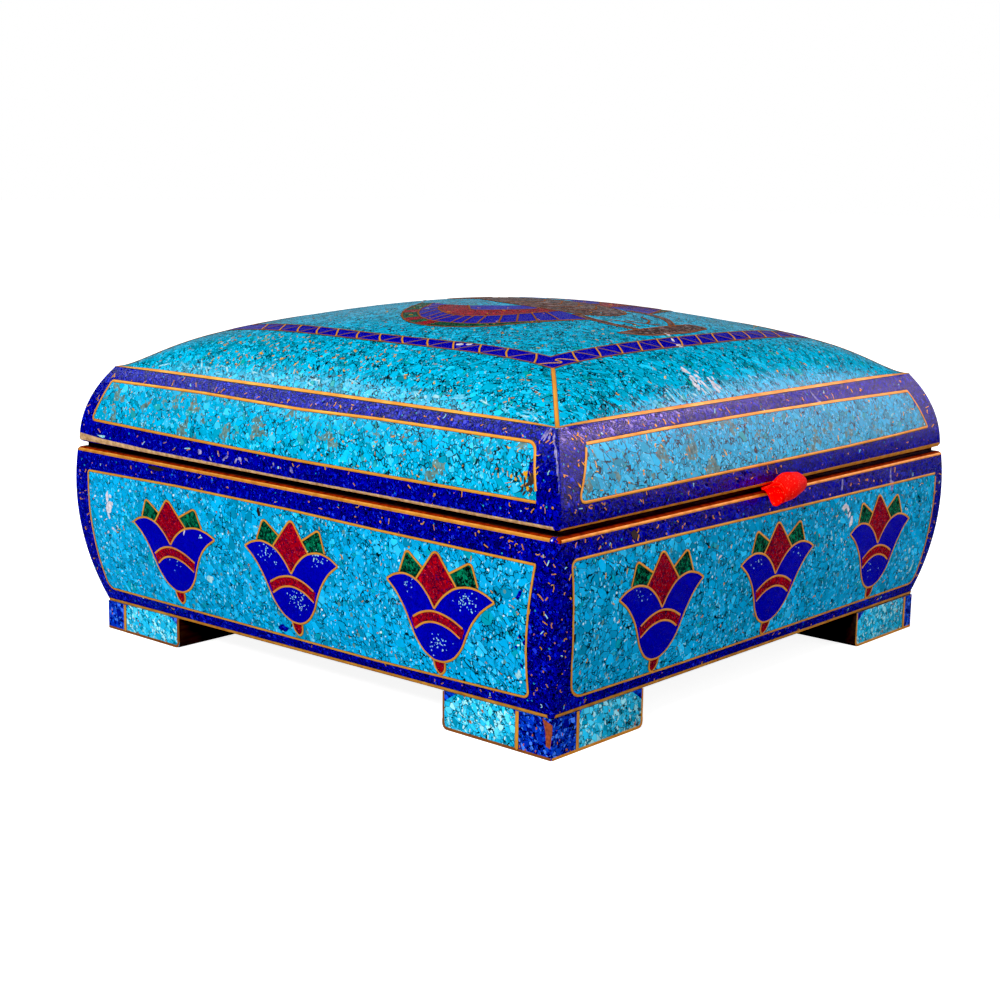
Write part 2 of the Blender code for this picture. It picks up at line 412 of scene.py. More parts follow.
lapis_feet = stone_material(
    "lapis_feet", 1.5,
    [(0.0, (0.0, 0.006, 0.25)), (0.15, (0.0, 0.03, 0.5)), (0.5, (0.006, 0.07, 0.72)),
     (0.85, (0.05, 0.2, 0.95))],
    (0.0, 0.0, 0.03), coarse=0.5, flecks=[(0.6, 0.02, 2.0, RUST_FLECK)])
lapis_smooth = stone_material(
    "lapis_smooth", 0.8,
    [(0.0, (0.0, 0.0, 0.44)), (0.5, (0.0, 0.003, 0.52)), (0.9, (0.0, 0.001, 0.36))],
    (0.0, 0.0, 0.2), crack=0.05, coarse=0.4, cloud=0.1, light=(0.93, 1.06), roughness=0.15)
coral = stone_material(
    "coral", 0.9,
    [(0.0, (0.2, 0.0, 0.015)), (0.2, (0.34, 0.0, 0.008)), (0.75, (0.52, 0.002, 0.008))],
    (0.03, 0.0, 0.02), crack=0.07, coarse=0.6, roughness=0.22,
    flecks=[(0.55, 0.06, 1.3, (0.02, 0.0, 0.08)), (0.4, 0.02, 1.0, (0.8, 0.03, 0.06))])
malachite = stone_material(
    "malachite", 1.2,
    [(0.0, (0.0, 0.05, 0.025)), (0.3, (0.0, 0.13, 0.06)), (0.7, (0.0, 0.22, 0.1))],
    (0.0, 0.005, 0.006), crack=0.14, roughness=0.25,
    flecks=[(0.6, 0.07, 1.4, (0.0, 0.012, 0.012))])
agate = stone_material(
    "agate", 1.9,
    [(0.0, (0.11, 0.045, 0.04)), (0.35, (0.17, 0.085, 0.075)), (0.6, (0.06, 0.028, 0.03)),
     (0.82, (0.26, 0.16, 0.15))],
    (0.02, 0.008, 0.006), crack=0.14, roughness=0.25,
    flecks=[(1.0, 0.04, 1.4, (0.08, 0.16, 0.17)), (0.9, 0.03, 1.2, (0.04, 0.03, 0.2))])
print("stones:", [m.name for m in bpy.data.materials if m.users == 0])

# %% [markdown]
# ## Metal, wood, worn stone and ribbon
# Old brass has fine scratches and a slow change from bright to brown, so its colour and roughness
# both follow soft noise. The same helper makes the dark copper of the rim and the dull brass
# inside. Wood, worn stone and the painted shade, glare and sheen are two shades in fine streaks.
# The ribbon is woven red cloth, and a glow painted by emission stands in for the light that falls
# through it, its inside in another measure than its outside.

# %% Metal, wood, worn stone and ribbon
def metal_material(name, bright, dull, roughness, metallic=1.0, tarnish_mm=6.0, polish=0.5):
    """Metal that is bright in some places and tarnished in others, a few millimetres apart."""
    material, tree, shader, place = new_material(name)
    tarnish = between(tree, noise(tree, place, tarnish_mm, 5.0), 0.35, 0.7)
    set_shader(tree, shader, {
        "Base Color": mix_colors(tree, tarnish, bright, dull), "Metallic": metallic,
        "Roughness": between(tree, tarnish, 0.0, 1.0, roughness, roughness + 0.15),
        "Specular IOR Level": polish})
    add_relief(tree, shader, noise(tree, place, 0.5, 4.0), 0.004)
    return material


def streaked_material(name, dark, light, roughness):
    """Two shades in fine streaks: stained wood, scuffed stone, and also painted shade, glare and sheen.
    """
    material, tree, shader, place = new_material(name)
    grain = add_node(tree, "Mapping", {"Vector": place, "Scale": (1.0, 7.0, 7.0)}).outputs[0]
    streak = between(tree, noise(tree, grain, 6.0, 6.0), 0.35, 0.65)
    set_shader(tree, shader, {"Base Color": mix_colors(tree, streak, dark, light),
                              "Roughness": roughness})
    add_relief(tree, shader, streak, 0.05)
    return material


brass = metal_material("brass_wire", (1.0, 0.44, 0.05), (0.78, 0.27, 0.02), 0.4, 0.4)
# Copper wire; on the zigzag's slants it is painted shade on the brass
copper_and_shaded_wire = metal_material("copper_and_shaded_wire", (0.42, 0.13, 0.02), (0.24, 0.06, 0.01), 0.4, 0.35)
curl_brass = metal_material("brass_curl", (1.0, 0.55, 0.01), (0.9, 0.28, 0.0), 0.5, 0.6, 1.5)
old_brass = metal_material("brass_strip", (0.95, 0.4, 0.05), (0.6, 0.2, 0.015), 0.4, 0.45, 3.0)
pale_brass = metal_material("pale_strip", (0.92, 0.6, 0.3), (0.42, 0.2, 0.07), 0.5, 0.3, 1.4)
copper = metal_material("copper_rim", (0.4, 0.035, 0.0), (0.1, 0.008, 0.0), 0.7, 0.0, 2.0, 0.05)
lining = metal_material("brass_lining", (0.55, 0.36, 0.16), (0.36, 0.24, 0.11), 0.42)
wood = streaked_material("dark_wood", (0.012, 0.004, 0.002), (0.035, 0.011, 0.005), 0.55)
# Near-black painted shade for the joint between lid and tray; also the dark of pits where a chip has come
# out
painted_shade_and_pits = streaked_material("joint_shade", (0.003, 0.0015, 0.001), (0.02, 0.005, 0.002), 0.7)
seam = streaked_material("wire_seam", (0.004, 0.002, 0.004), (0.03, 0.012, 0.008), 0.5)
# Pale turquoise for scuffs, specks and slips of stone, and also painted glare along the shoulder
pale_stone_and_glare = streaked_material("pale_glare_stone", (0.1, 0.5, 0.62), (0.5, 0.75, 0.8), 0.5)
# Painted glare along the shoulder
painted_glare = streaked_material("painted_glare_stone", (0.02, 0.4, 0.6), (0.16, 0.6, 0.8), 0.5)
rust = streaked_material("rust_patch", (0.2, 0.025, 0.004), (0.42, 0.075, 0.01), 0.6)
chalk = streaked_material("chalk_scuff", (0.5, 0.45, 0.5), (0.8, 0.78, 0.85), 0.6)
# Pale violet over lapis: painted sheen
painted_sheen = streaked_material("painted_sheen_lapis", (0.07, 0.05, 0.3), (0.4, 0.36, 0.62), 0.5)
bare_resin = streaked_material("bare_resin", (0.012, 0.004, 0.002), (0.05, 0.02, 0.012), 0.6)
print("metals, wood and worn stone:", [m.name for m in bpy.data.materials if m.users == 0][-16:])

# Where along the ribbon its painted glow changes, on its own map
GLOW_START = 1.3
GLOW_END = 1.75


def ribbon_material(name, glow):
    """Red woven ribbon: fine ribs across its own map, painted as the sheen and shade of the weave, with
    lighter dots of painted sheen where threads lie on top.
    """
    material, tree, shader, place = new_material(name)
    own = add_node(tree, "UVMap", uv_map="ribbon").outputs[0]
    ribs = add_node(tree, "TexWave", {"Vector": own, "Scale": 9.0, "Distortion": 1.5,
                                      "Detail": 2.0}, bands_direction="X")
    warp = add_node(tree, "TexWave", {"Vector": own, "Scale": 12.0, "Distortion": 1.0},
                    bands_direction="Y")
    weave = calculate(tree, "MULTIPLY", ribs.outputs["Fac"], warp.outputs["Fac"])
    # The ribs and dots are painted sheen and shade of the weave
    color = mix_colors(tree, weave, (0.75, 0.0, 0.0), (1.0, 0.025, 0.012))
    color = mix_colors(tree, scattered(tree, place, 0.55, 0.1, 0.01), color, (1.0, 0.06, 0.035))
    # A painted glow, by emission, stands in for the light that falls through the cloth; its two layers
    # glow each in their own measure
    length = add_node(tree, "SeparateXYZ", {0: own}).outputs[1]
    set_shader(tree, shader, {
        "Base Color": color, "Roughness": 0.7, "Specular IOR Level": 0.1,
        "Emission Color": color,
        "Emission Strength": between(tree, length, GLOW_START, GLOW_END, *glow)})
    slub = noise(tree, place, 1.2, 3.0)
    add_relief(tree, shader, calculate(tree, "ADD", weave, slub), 0.14)
    return material


# Painted glow: outside weak on the lower layer and stronger on the upper one; inside strong on the lower
# layer
red_ribbon = ribbon_material("red_ribbon", (0.08, 0.4))
ribbon_inside = ribbon_material("ribbon_inside", (0.75, 0.02))

# %% [markdown]
# ## Finishing a piece
# Each piece is a bmesh in millimetres about the box's middle. This step turns it into metres, moves
# it to its place, points its faces outwards and shades its curves smooth. It then rides on the
# model's only body.

# %% Finishing a piece
def finish_piece(name, bm, materials, smooth_deg=30.0):
    bmesh.ops.recalc_face_normals(bm, faces=bm.faces)
    bmesh.ops.translate(bm, verts=bm.verts, vec=(0.0, CENTRE_Y, 0.0))
    bmesh.ops.scale(bm, verts=bm.verts, vec=(MM,) * 3)
    mesh = bpy.data.meshes.new(name)
    bm.to_mesh(mesh)
    bm.free()
    mesh.shade_smooth()
    mesh.set_sharp_from_angle(angle=math.radians(smooth_deg))
    for material in materials:
        mesh.materials.append(material)
    piece = bpy.data.objects.new(name, mesh)
    bpy.context.scene.collection.objects.link(piece)
    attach(piece, "root")
    print(f"{name}: {len(mesh.polygons)} faces")
    return piece


# %% [markdown]
# ## The tray's body
# The tray is one section carried round a square: underside, bulging wall, rounded rim, the lip that
# the lid sits on, the inside wall, a small cove and the floor. Spin with four steps does exactly
# that and mitres the corners. The outside is set back a hair, and the wires and stones fill that
# hair again. The corners get a small bevel, because sanding never leaves them sharp.

# %% The tray's body
GROUND = -0.16
ARRIS = 0.45
# A face that lies no deeper than this belongs to the outside
SKIN = 1.0
# A little more than nothing, for comparing places
HAIR = 0.1


def steps(start, end, count):
    return [start + (end - start) * i / count for i in range(count + 1)]


def arc(centre, radius, start_deg, end_deg, count=6):
    return [(centre[0] + radius * math.cos(math.radians(a)),
             centre[1] + radius * math.sin(math.radians(a)))
            for a in steps(start_deg, end_deg, count)]


def tray_section():
    """(half width, height) points from the middle of the underside to the middle of the floor."""
    wall_top = RIM_Z - RIM_ROUND
    floor_z = TRAY_FOOT_Z + FLOOR
    outer = [(tray_half(z) + GROUND, z) for z in steps(TRAY_FOOT_Z, wall_top, 16)]
    rim = arc((tray_half(wall_top) - RIM_ROUND, wall_top), RIM_ROUND + GROUND, 0, 90)
    lip = [(LIP_HALF, RIM_Z + GROUND), (LIP_HALF, tray_high.z)]
    inner = [(bulge(z, TRAY_HALF - WALL, WALL_RADIUS - WALL, BELLY_Z), z)
             for z in steps(RIM_Z, floor_z + COVE, 12)]
    lip.append((inner[0][0], tray_high.z))
    cove = arc((inner[-1][0] - COVE, floor_z + COVE), COVE, 0, -90)
    return [(0.0, TRAY_FOOT_Z)] + outer + rim + lip + inner + cove[1:] + [(0.0, floor_z)]


def square_turned(section):
    bm = bmesh.new()
    verts = [bm.verts.new((half, half, z)) for half, z in section]
    edges = [bm.edges.new(pair) for pair in zip(verts, verts[1:])]
    bmesh.ops.spin(bm, geom=verts + edges, cent=(0, 0, 0), axis=(0, 0, 1), angle=math.tau,
                   steps=4, use_merge=True)
    bmesh.ops.remove_doubles(bm, verts=bm.verts, dist=1e-3)
    return bm


def round_edges(bm, edges, size, segments):
    bmesh.ops.bevel(bm, geom=edges, offset=size, segments=segments, profile=0.5, affect="EDGES",
                    material=-1)


def ease_corners(bm, keep):
    """Bevel the upright corner edges for which keep(height, half width) says yes."""
    corners = []
    for edge in bm.edges:
        a, b = (v.co for v in edge.verts)
        on_corner = all(abs(abs(p.x) - abs(p.y)) < 1e-3 and p.x ** 2 > 1 for p in (a, b))
        if on_corner and abs(a.z - b.z) > 1e-3 and keep((a.z + b.z) / 2, (abs(a.x) + abs(b.x)) / 2):
            corners.append(edge)
    round_edges(bm, corners, ARRIS, 3)


FOOT_LINE_DROP = 2.2
# The height over which the wall follows the sunken line
SINK_REACH = 5.0


def foot_line_drop(x, y):
    """How far the tray's foot line sinks on its way to the back left corner."""
    return FOOT_LINE_DROP * (y + TRAY_HALF) * (TRAY_HALF - x) / (2 * TRAY_HALF) ** 2


def sink_foot(bm):
    """Slide the lowest part of the outer walls down to the sunken line."""
    for vert in bm.verts:
        x, y, z = vert.co
        if z < TRAY_FOOT_Z + SINK_REACH and max(abs(x), abs(y)) > tray_half(z) - SKIN:
            sunk = z - foot_line_drop(x, y) * min(1.0, (TRAY_FOOT_Z + SINK_REACH - z) / SINK_REACH)
            share = (tray_half(sunk) + GROUND) / (tray_half(z) + GROUND)
            vert.co = (x * share, y * share, sunk)


tray = square_turned(tray_section())
bmesh.ops.recalc_face_normals(tray, faces=tray.faces)
ease_corners(tray, lambda z, half: z < RIM_Z and half > tray_half(z) - SKIN)
sink_foot(tray)
for face in tray.faces:
    middle = face.calc_center_median()
    half = max(abs(middle.x), abs(middle.y))
    if middle.z > RIM_Z - RIM_ROUND - HAIR:
        # The lip's outer face and the rim beside it are painted near black, as the joint's shade
        face.material_index = 1 if half > LIP_HALF + 1.0 else 4 if half > LIP_HALF - HAIR else 2
    elif abs(face.normal.z) < 0.7 and half > tray_half(middle.z) - SKIN:
        face.material_index = 0
    else:
        face.material_index = 2 if middle.z > TRAY_FOOT_Z + 0.01 else 3
tray_shell = finish_piece("tray_shell", tray, [lapis, copper, lining, wood, painted_shade_and_pits])
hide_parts("box_body")

# %% [markdown]
# ## The lid's body
# The pillow is a grid lifted by the dome's formula, with its lines crowded towards the edge, where
# the surface turns fastest. The rim of the grid is then extruded down the skirt, round the edge and
# up inside, and a second grid closes the inside.

# %% The lid's body
DOME_CELLS = 44
# The lid's lowest edge and the rebate behind it lie in the joint's black shade, and are painted near
# black as that shade
JOINT_SHADE_Z = 62.2
EDGE_CROWDING = 1.6
# How thick the top is over the lid's vault
TOP_WALL = 4.0


def crowded(share):
    """A line of the pillow's grid, in millimetres from the middle, from its share of the way."""
    return math.copysign(1 - (1 - abs(share)) ** EDGE_CROWDING, share) * SHOULDER_HALF


def dome_grid(bm, half, drop):
    """The pillow as a grid this far out and this much lower; gives back its rim."""
    before = set(bm.edges)
    made = bmesh.ops.create_grid(bm, x_segments=DOME_CELLS, y_segments=DOME_CELLS, size=1.0)
    for vert in made["verts"]:
        x, y = (crowded(c) for c in vert.co.xy)
        share = half / SHOULDER_HALF
        vert.co = (x * share, y * share, dome_z(x, y) + drop)
    return [e for e in bm.edges if e not in before and e.is_boundary]


def lid_section():
    """(half width, height) from under the shoulder, down the skirt and up inside."""
    skirt_foot = LID_EDGE_Z + RIM_ROUND
    outer = [(skirt_half(z) + GROUND, z) for z in steps(SHOULDER_Z + GROUND, skirt_foot, 16)]
    edge = arc((skirt_half(skirt_foot) - RIM_ROUND, skirt_foot), RIM_ROUND + GROUND, 0, -90)
    rebate_half = LIP_HALF + LID_CLEARANCE
    inner = [(bulge(z, LID_HALF - LID_WALL, SKIRT_RADIUS - LID_WALL, LID_EDGE_Z), z)
             for z in steps(LEDGE_Z, SHOULDER_Z - TOP_WALL, 10)]
    rebate = [(rebate_half, LID_EDGE_Z - GROUND), (rebate_half, LEDGE_Z)]
    return outer[1:] + edge[1:] + rebate + inner


lid = bmesh.new()
ring_half = SHOULDER_HALF
ring = dome_grid(lid, SHOULDER_HALF, GROUND)
for next_half, z in lid_section():
    made = bmesh.ops.extrude_edge_only(lid, edges=ring)["geom"]
    for vert in (g for g in made if isinstance(g, bmesh.types.BMVert)):
        vert.co = (vert.co.x * next_half / ring_half, vert.co.y * next_half / ring_half, z)
    ring = [g for g in made if isinstance(g, bmesh.types.BMEdge)]
    ring_half = next_half
dome_grid(lid, ring_half, -TOP_WALL)
bmesh.ops.remove_doubles(lid, verts=lid.verts, dist=1e-2)
ease_corners(lid, lambda z, half: z < SHOULDER_Z and half > skirt_half(z) - SKIN)
for face in lid.faces:
    middle = face.calc_center_median()
    half = max(abs(middle.x), abs(middle.y))
    on_top = middle.z > SHOULDER_Z + GROUND
    outside = (middle.z > dome_z(middle.x, middle.y) - SKIN if on_top
               else half > skirt_half(middle.z) - SKIN)
    # The lid's lowest edge and its rebate are painted near black, as the joint's shade
    if middle.z < (JOINT_SHADE_Z if outside else LEDGE_Z - HAIR):
        face.material_index = 3
    elif outside:
        face.material_index = 0 if on_top else 1
    else:
        face.material_index = 2
lid_shell = finish_piece("lid_shell", lid, [turquoise_top, lapis, lining, painted_shade_and_pits])
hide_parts("lid")

# %% [markdown]
# ## Drawing the inlay
# A goldsmith bends flat wire along a drawing and fills the cells with stone. Here too everything is
# drawn flat: a plate is one face inside its outline, and a wire is two rails and a slightly raised
# middle, bridged together. Both get a little depth. The flat drawing is then cut along level lines,
# so that it can bend, and moved onto the wall.

# %% Drawing the inlay
PLATE_DEPTH = 0.12
WIRE_EDGE = -0.04
WIRE_WIDTH = 0.64
SEAM_WIDTH = 0.11
SEAM_LAYER = -0.12


def smooth_line(points, per_span=6):
    """A smooth curve through the points, open at its ends."""
    ends = [2 * Vector(points[0]) - Vector(points[1]), 2 * Vector(points[-1]) - Vector(points[-2])]
    knots = [ends[0]] + [Vector(p) for p in points] + [ends[1]]
    line = [knots[1]]
    for before, start, end, after in zip(knots, knots[1:], knots[2:], knots[3:]):
        handles = (start + (end - before) / 6, end - (after - start) / 6)
        line += interpolate_bezier(start.to_3d(), handles[0].to_3d(), handles[1].to_3d(),
                                   end.to_3d(), per_span + 1)[1:]
    return [Vector(p).to_2d() for p in line]


def eased(corners, closed=True):
    """Straight runs between corners. A third number rounds a corner from that far away."""
    line = []
    for i, (x, y, *ease) in enumerate(corners):
        here = Vector((x, y))
        if not ease or (not closed and i in (0, len(corners) - 1)):
            line.append(here)
            continue
        before = Vector(corners[i - 1][:2])
        after = Vector(corners[(i + 1) % len(corners)][:2])
        start = here + (before - here).normalized() * ease[0]
        end = here + (after - here).normalized() * ease[0]
        arc_points = interpolate_bezier(start.to_3d(), start.lerp(here, 0.55).to_3d(),
                                        end.lerp(here, 0.55).to_3d(), end.to_3d(), 6)
        line += [Vector(p).to_2d() for p in arc_points]
    return line


def sided(line, sign):
    """The line as it is for 1, or its mirror image for -1."""
    return [Vector((sign * p[0], p[1])) for p in line]


def draw_plate(bm, line, layer, material=0):
    """One flat stone inside a closed outline."""
    face = bm.faces.new([bm.verts.new((p[0], p[1], layer)) for p in line])
    face.material_index = material


def draw_wire(bm, line, width=WIRE_WIDTH, closed=False, material=0, edge=WIRE_EDGE, crown=0.0,
              seam_width=SEAM_WIDTH):
    """A strip along the line: rails with a raised middle, bridged, and a dark seam on each side."""
    points = [Vector(p[:2]) for p in line]
    sides = []
    for i, here in enumerate(points):
        before = points[i - 1] if i or closed else None
        after = points[(i + 1) % len(points)] if i < len(points) - 1 or closed else None
        ways = [w.normalized() for w in (here - before if before else None,
                                         after - here if after else None) if w]
        normals = [Vector((-w.y, w.x)) for w in ways]
        middle = (normals[0] + normals[-1]).normalized()
        sides.append(middle / max(0.5, middle.dot(normals[0])) * width / 2)
    rows = [(-1, edge), (1, edge)] if crown is None else [(-1, edge), (0, crown), (1, edge)]
    if seam_width:
        out = 1 + 2 * seam_width / width
        rows = [(-out, SEAM_LAYER)] + rows + [(out, SEAM_LAYER)]
    rails = []
    for share, layer in rows:
        verts = [bm.verts.new((*(p + share * side), layer)) for p, side in zip(points, sides)]
        pairs = list(zip(verts, verts[1:])) + ([(verts[-1], verts[0])] if closed else [])
        rails.append([bm.edges.new(pair) for pair in pairs])
    for number, (first, second) in enumerate(zip(rails, rails[1:])):
        in_seam = seam_width and number in (0, len(rails) - 2)
        for face in bmesh.ops.bridge_loops(bm, edges=first + second)["faces"]:
            face.material_index = 1 if in_seam else material


def thicken(bm, depth=PLATE_DEPTH):
    """Give the flat drawing its depth, downwards."""
    made = bmesh.ops.extrude_face_region(bm, geom=bm.faces[:], use_keep_orig=True)["geom"]
    moved = [g for g in made if isinstance(g, bmesh.types.BMVert)]
    bmesh.ops.translate(bm, verts=moved, vec=(0.0, 0.0, -depth))


def cut_along(bm, axis, places):
    """Cut the drawing at each place along the x or y axis."""
    normal = (1, 0, 0) if axis == "x" else (0, 1, 0)
    for place in places:
        point = tuple(place * n for n in normal)
        bmesh.ops.bisect_plane(bm, geom=bm.verts[:] + bm.edges[:] + bm.faces[:], dist=1e-5,
                               plane_co=point, plane_no=normal)


TURNS = {"left": -90, "front": 0, "right": 90, "back": 180}


def onto_wall(bm, side, half_at, low=0.0, high=0.0, step=None):
    """Bend a drawing of (along, height, layer) onto a wall and turn it to its side."""
    thicken(bm)
    if step:
        cut_along(bm, "y", steps(low, high, max(1, round((high - low) / step)))[1:-1])
    for vert in bm.verts:
        along, z, layer = vert.co
        vert.co = (along, -(half_at(z) + layer), z)
    turn = Matrix.Rotation(math.radians(TURNS[side]), 3, "Z")
    bmesh.ops.rotate(bm, verts=bm.verts, cent=(0, 0, 0), matrix=turn)


def onto_dome(bm, cut=True):
    """Bend a drawing of (x, y, layer) onto the lid's pillow."""
    thicken(bm)
    if cut:
        places = [crowded(share) for share in steps(-1.0, 1.0, DOME_CELLS)[1:-1]]
        cut_along(bm, "x", places)
        cut_along(bm, "y", places)
    for vert in bm.verts:
        x, y, layer = vert.co
        vert.co = (x, y, dome_z(x, y) + layer)


def gathered(drawings):
    """One bmesh that holds all the drawings."""
    whole = bmesh.new()
    for drawing in drawings:
        mesh = bpy.data.meshes.new("drawing")
        drawing.to_mesh(mesh)
        drawing.free()
        whole.from_mesh(mesh)
        bpy.data.meshes.remove(mesh)
    return whole


def round_the_box(sides, draw, *bend):
    """Let draw(bm, side) draw each side, bend each drawing onto its wall and gather them."""
    drawings = []
    for side in sides:
        drawings.append(bmesh.new())
        draw(drawings[-1], side)
        onto_wall(drawings[-1], side, *bend)
    return gathered(drawings)


# How the walls are bent: half width, lowest and highest level line, and the step between them
TRAY_BEND = (tray_half, 12.0, 57.0, 3.0)
SKIRT_BEND = (skirt_half, 64.0, 86.0, 1.5)
print("layers:", GROUND, WIRE_EDGE)

# %% [markdown]
# ## The tray's panels
# Each wall has a turquoise panel in a lapis frame. The panels were laid by hand: their sides lean,
# some corners are round and some are sharp, and here and there the wire's ends don't meet. The two
# sides in the picture keep their own outline. The other two are drawn plainly.

# %% The tray's panels
PANEL_LAYER = -0.13
TRAY_PANELS = {
    "left": [(-94.0, 53.3, 0.8), (-50, 54.0), (0, 53.9), (36, 53.3), (93.2, 52.8, 0.3),
             (91.3, 42), (89.5, 30), (88.0, 15.9, 2.0), (30, 14.5), (-91.2, 14.2, 2.5),
             (-92.8, 25), (-93.9, 40)],
    "front": [(95.8, 52.4), (95.4, 42), (94.6, 30), (93.2, 15.8, 3.0), (60, 15.7),
              (0, 15.5), (-40, 15.4), (-89.6, 16.0, 4.5), (-92.5, 26), (-94.5, 38),
              (-96.0, 54.2, 2.0), (-55, 54.2), (0, 53.8), (60, 53.6), (95.4, 53.5)],
    "right": [(-94.5, 53.8, 1.5), (94.5, 53.8, 1.5), (93.5, 35), (90.8, 15.2, 2.5),
              (-90.8, 15.2, 2.5), (-93.5, 35)],
}
TRAY_PANELS["back"] = TRAY_PANELS["right"]


def panel_piece(name, outlines, bend, stone):
    def draw_panel(bm, side):
        draw_plate(bm, eased(outlines[side]), PANEL_LAYER)
    finish_piece(name, round_the_box(outlines, draw_panel, *bend), [stone])


panel_piece("tray_panels", TRAY_PANELS, TRAY_BEND, turquoise_fine)

# %% [markdown]
# ## The lid's panels
# The skirt of the lid has a narrower panel of coarser chips on each side, drawn the same way.

# %% The lid's panels
LID_PANELS = {
    "left": [(91.8, 68.3), (40, 68.2), (0, 68.2), (-60, 69.0), (-93.6, 69.6, 1.6),
             (-89.0, 82.1, 0.8), (-45, 82.4), (0, 81.9), (30, 82.4), (87.0, 82.4, 2.2),
             (91.2, 71.0)],
    "front": [(-83.4, 81.8), (-50, 82.2), (0, 82.2), (40, 81.9), (84.4, 81.3, 0.4),
              (87.3, 76.6), (91.2, 69.3, 0.4), (70, 68.8), (40, 68.4), (0, 68.3),
              (-50, 68.2), (-92.2, 68.0, 3.0), (-84.1, 80.9)],
    "right": [(-86.5, 82.0, 1.5), (86.5, 82.0, 1.5), (92.0, 68.6, 1.5), (-92.0, 68.6, 1.5)],
}
LID_PANELS["back"] = LID_PANELS["right"]
panel_piece("lid_panels", LID_PANELS, SKIRT_BEND, turquoise_lid)

# %% [markdown]
# ## The flowers
# Each flower is a cup of two lapis petals, a red petal standing between them, a green sepal on each
# side, a red band across the cup and a short stem. One half is drawn and mirrored. Every flower is
# then stretched a little its own way, because each was bent by hand.

# %% The flowers
# Where the petals part, and how far above it the flower's lean is measured
FLOWER_BASE = 35.0
FLOWER_RISE = 16.0
PETAL_TOP = [(0.0, 35.0), (2.8, 38.7), (6.8, 41.8), (11.8, 43.0), (16.2, 42.2), (19.5, 40.5)]
CUP_SIDE = [(19.5, 40.5), (15.6, 37.4), (12.3, 33.2), (10.1, 29.0), (8.4, 25.4), (5.5, 21.9),
            (2.3, 20.1), (0.0, 19.8)]
RED_PETAL = [(7.3, 42.3), (0.0, 51.5, 2.0)]
SEPAL = [(14.3, 43.2), (11.7, 49.9, 1.5), (4.8, 45.6)]
BAND_TOP = [(9.7, 30.9), (5.2, 33.2), (0.0, 34.2)]
BAND_FOOT = [(8.7, 27.8), (4.6, 30.2), (0.0, 31.1)]
STEM = [(2.1, 19.6), (1.6, 17.3), (0.0, 15.9)]
# Where stones run on under the ones that lie over them
SEPAL_UNDER = [(6.5, 40.0), (13.5, 40.0)]
RED_UNDER = [Vector((0.0, 33.5))]
STEM_UNDER = [Vector((-1.5, 21.0)), Vector((1.5, 21.0))]
FLOWER_LAYERS = {"sepal": -0.115, "petal": -0.1, "cup": -0.08, "band": -0.06}

# Each row: where the petals part, the left and right reach, how far the top leans and drops
FLOWERS = {
    "left": [(-53.5, 17.5, 21.9, -0.4, -1.8), (1.6, 19.8, 19.6, 0.7, 0.0),
             (58.0, 17.6, 21.4, 0.9, 0.0)],
    "front": [(-56.0, 19.4, 18.8, -1.3, 0.0), (0.2, 19.0, 20.1, -0.5, -0.2),
              (60.4, 17.9, 19.6, -1.8, 0.2)],
    "right": [(-58.0, 19.0, 19.0, 0.4, 0.0), (0.0, 19.5, 19.0, -0.3, 0.0),
              (58.0, 19.0, 19.5, 0.2, 0.0)],
    "back": [(-57.5, 19.2, 18.6, -0.4, 0.0), (0.6, 18.8, 19.4, 0.3, 0.0),
             (57.0, 19.4, 19.0, 0.5, 0.0)],
}


def mirrored(half_line):
    """The whole line, from a half that starts on the right and ends on the middle line."""
    left = [(-p[0], *p[1:]) for p in half_line[:-1]]
    return list(half_line) + left[::-1]


def placed(line, flower):
    """A line of the pattern, stretched and moved as this flower asks."""
    base, left, right, lean, drop = flower
    reach = PETAL_TOP[-1][0]
    moved = []
    for p in (Vector(p[:2]) for p in line):
        rise = (p.y - FLOWER_BASE) / FLOWER_RISE
        moved.append(Vector((base + p.x * (right if p.x > 0 else left) / reach + lean * rise,
                             p.y + drop * max(0.0, rise))))
    return moved


petal_top = smooth_line(PETAL_TOP, 5)
sepal = eased(SEPAL, closed=False)
PATTERN = {"cup": smooth_line(mirrored(CUP_SIDE), 5), "top": petal_top,
           "other_top": sided(petal_top, -1), "sepal": sepal, "other_sepal": sided(sepal, -1),
           "red": eased(mirrored(RED_PETAL), closed=False), "stem": smooth_line(mirrored(STEM), 4),
           "band_top": smooth_line(mirrored(BAND_TOP), 5),
           "band_foot": smooth_line(mirrored(BAND_FOOT), 5)}
LAPIS, RED, GREEN, SPECK = range(4)


def draw_flower_stones(bm, flower):
    def lay(outline, layer, stone):
        draw_plate(bm, placed(outline, flower), FLOWER_LAYERS[layer], stone)

    lay(PATTERN["sepal"] + sided(SEPAL_UNDER, 1), "sepal", GREEN)
    lay(PATTERN["other_sepal"] + sided(SEPAL_UNDER, -1), "sepal", GREEN)
    lay(PATTERN["red"] + RED_UNDER, "petal", RED)
    lay(PATTERN["stem"] + STEM_UNDER, "petal", RED)
    lay(PATTERN["cup"] + PATTERN["other_top"][::-1][1:] + PATTERN["top"][1:-1], "cup", LAPIS)
    lay(PATTERN["band_top"] + PATTERN["band_foot"][::-1], "band", RED)


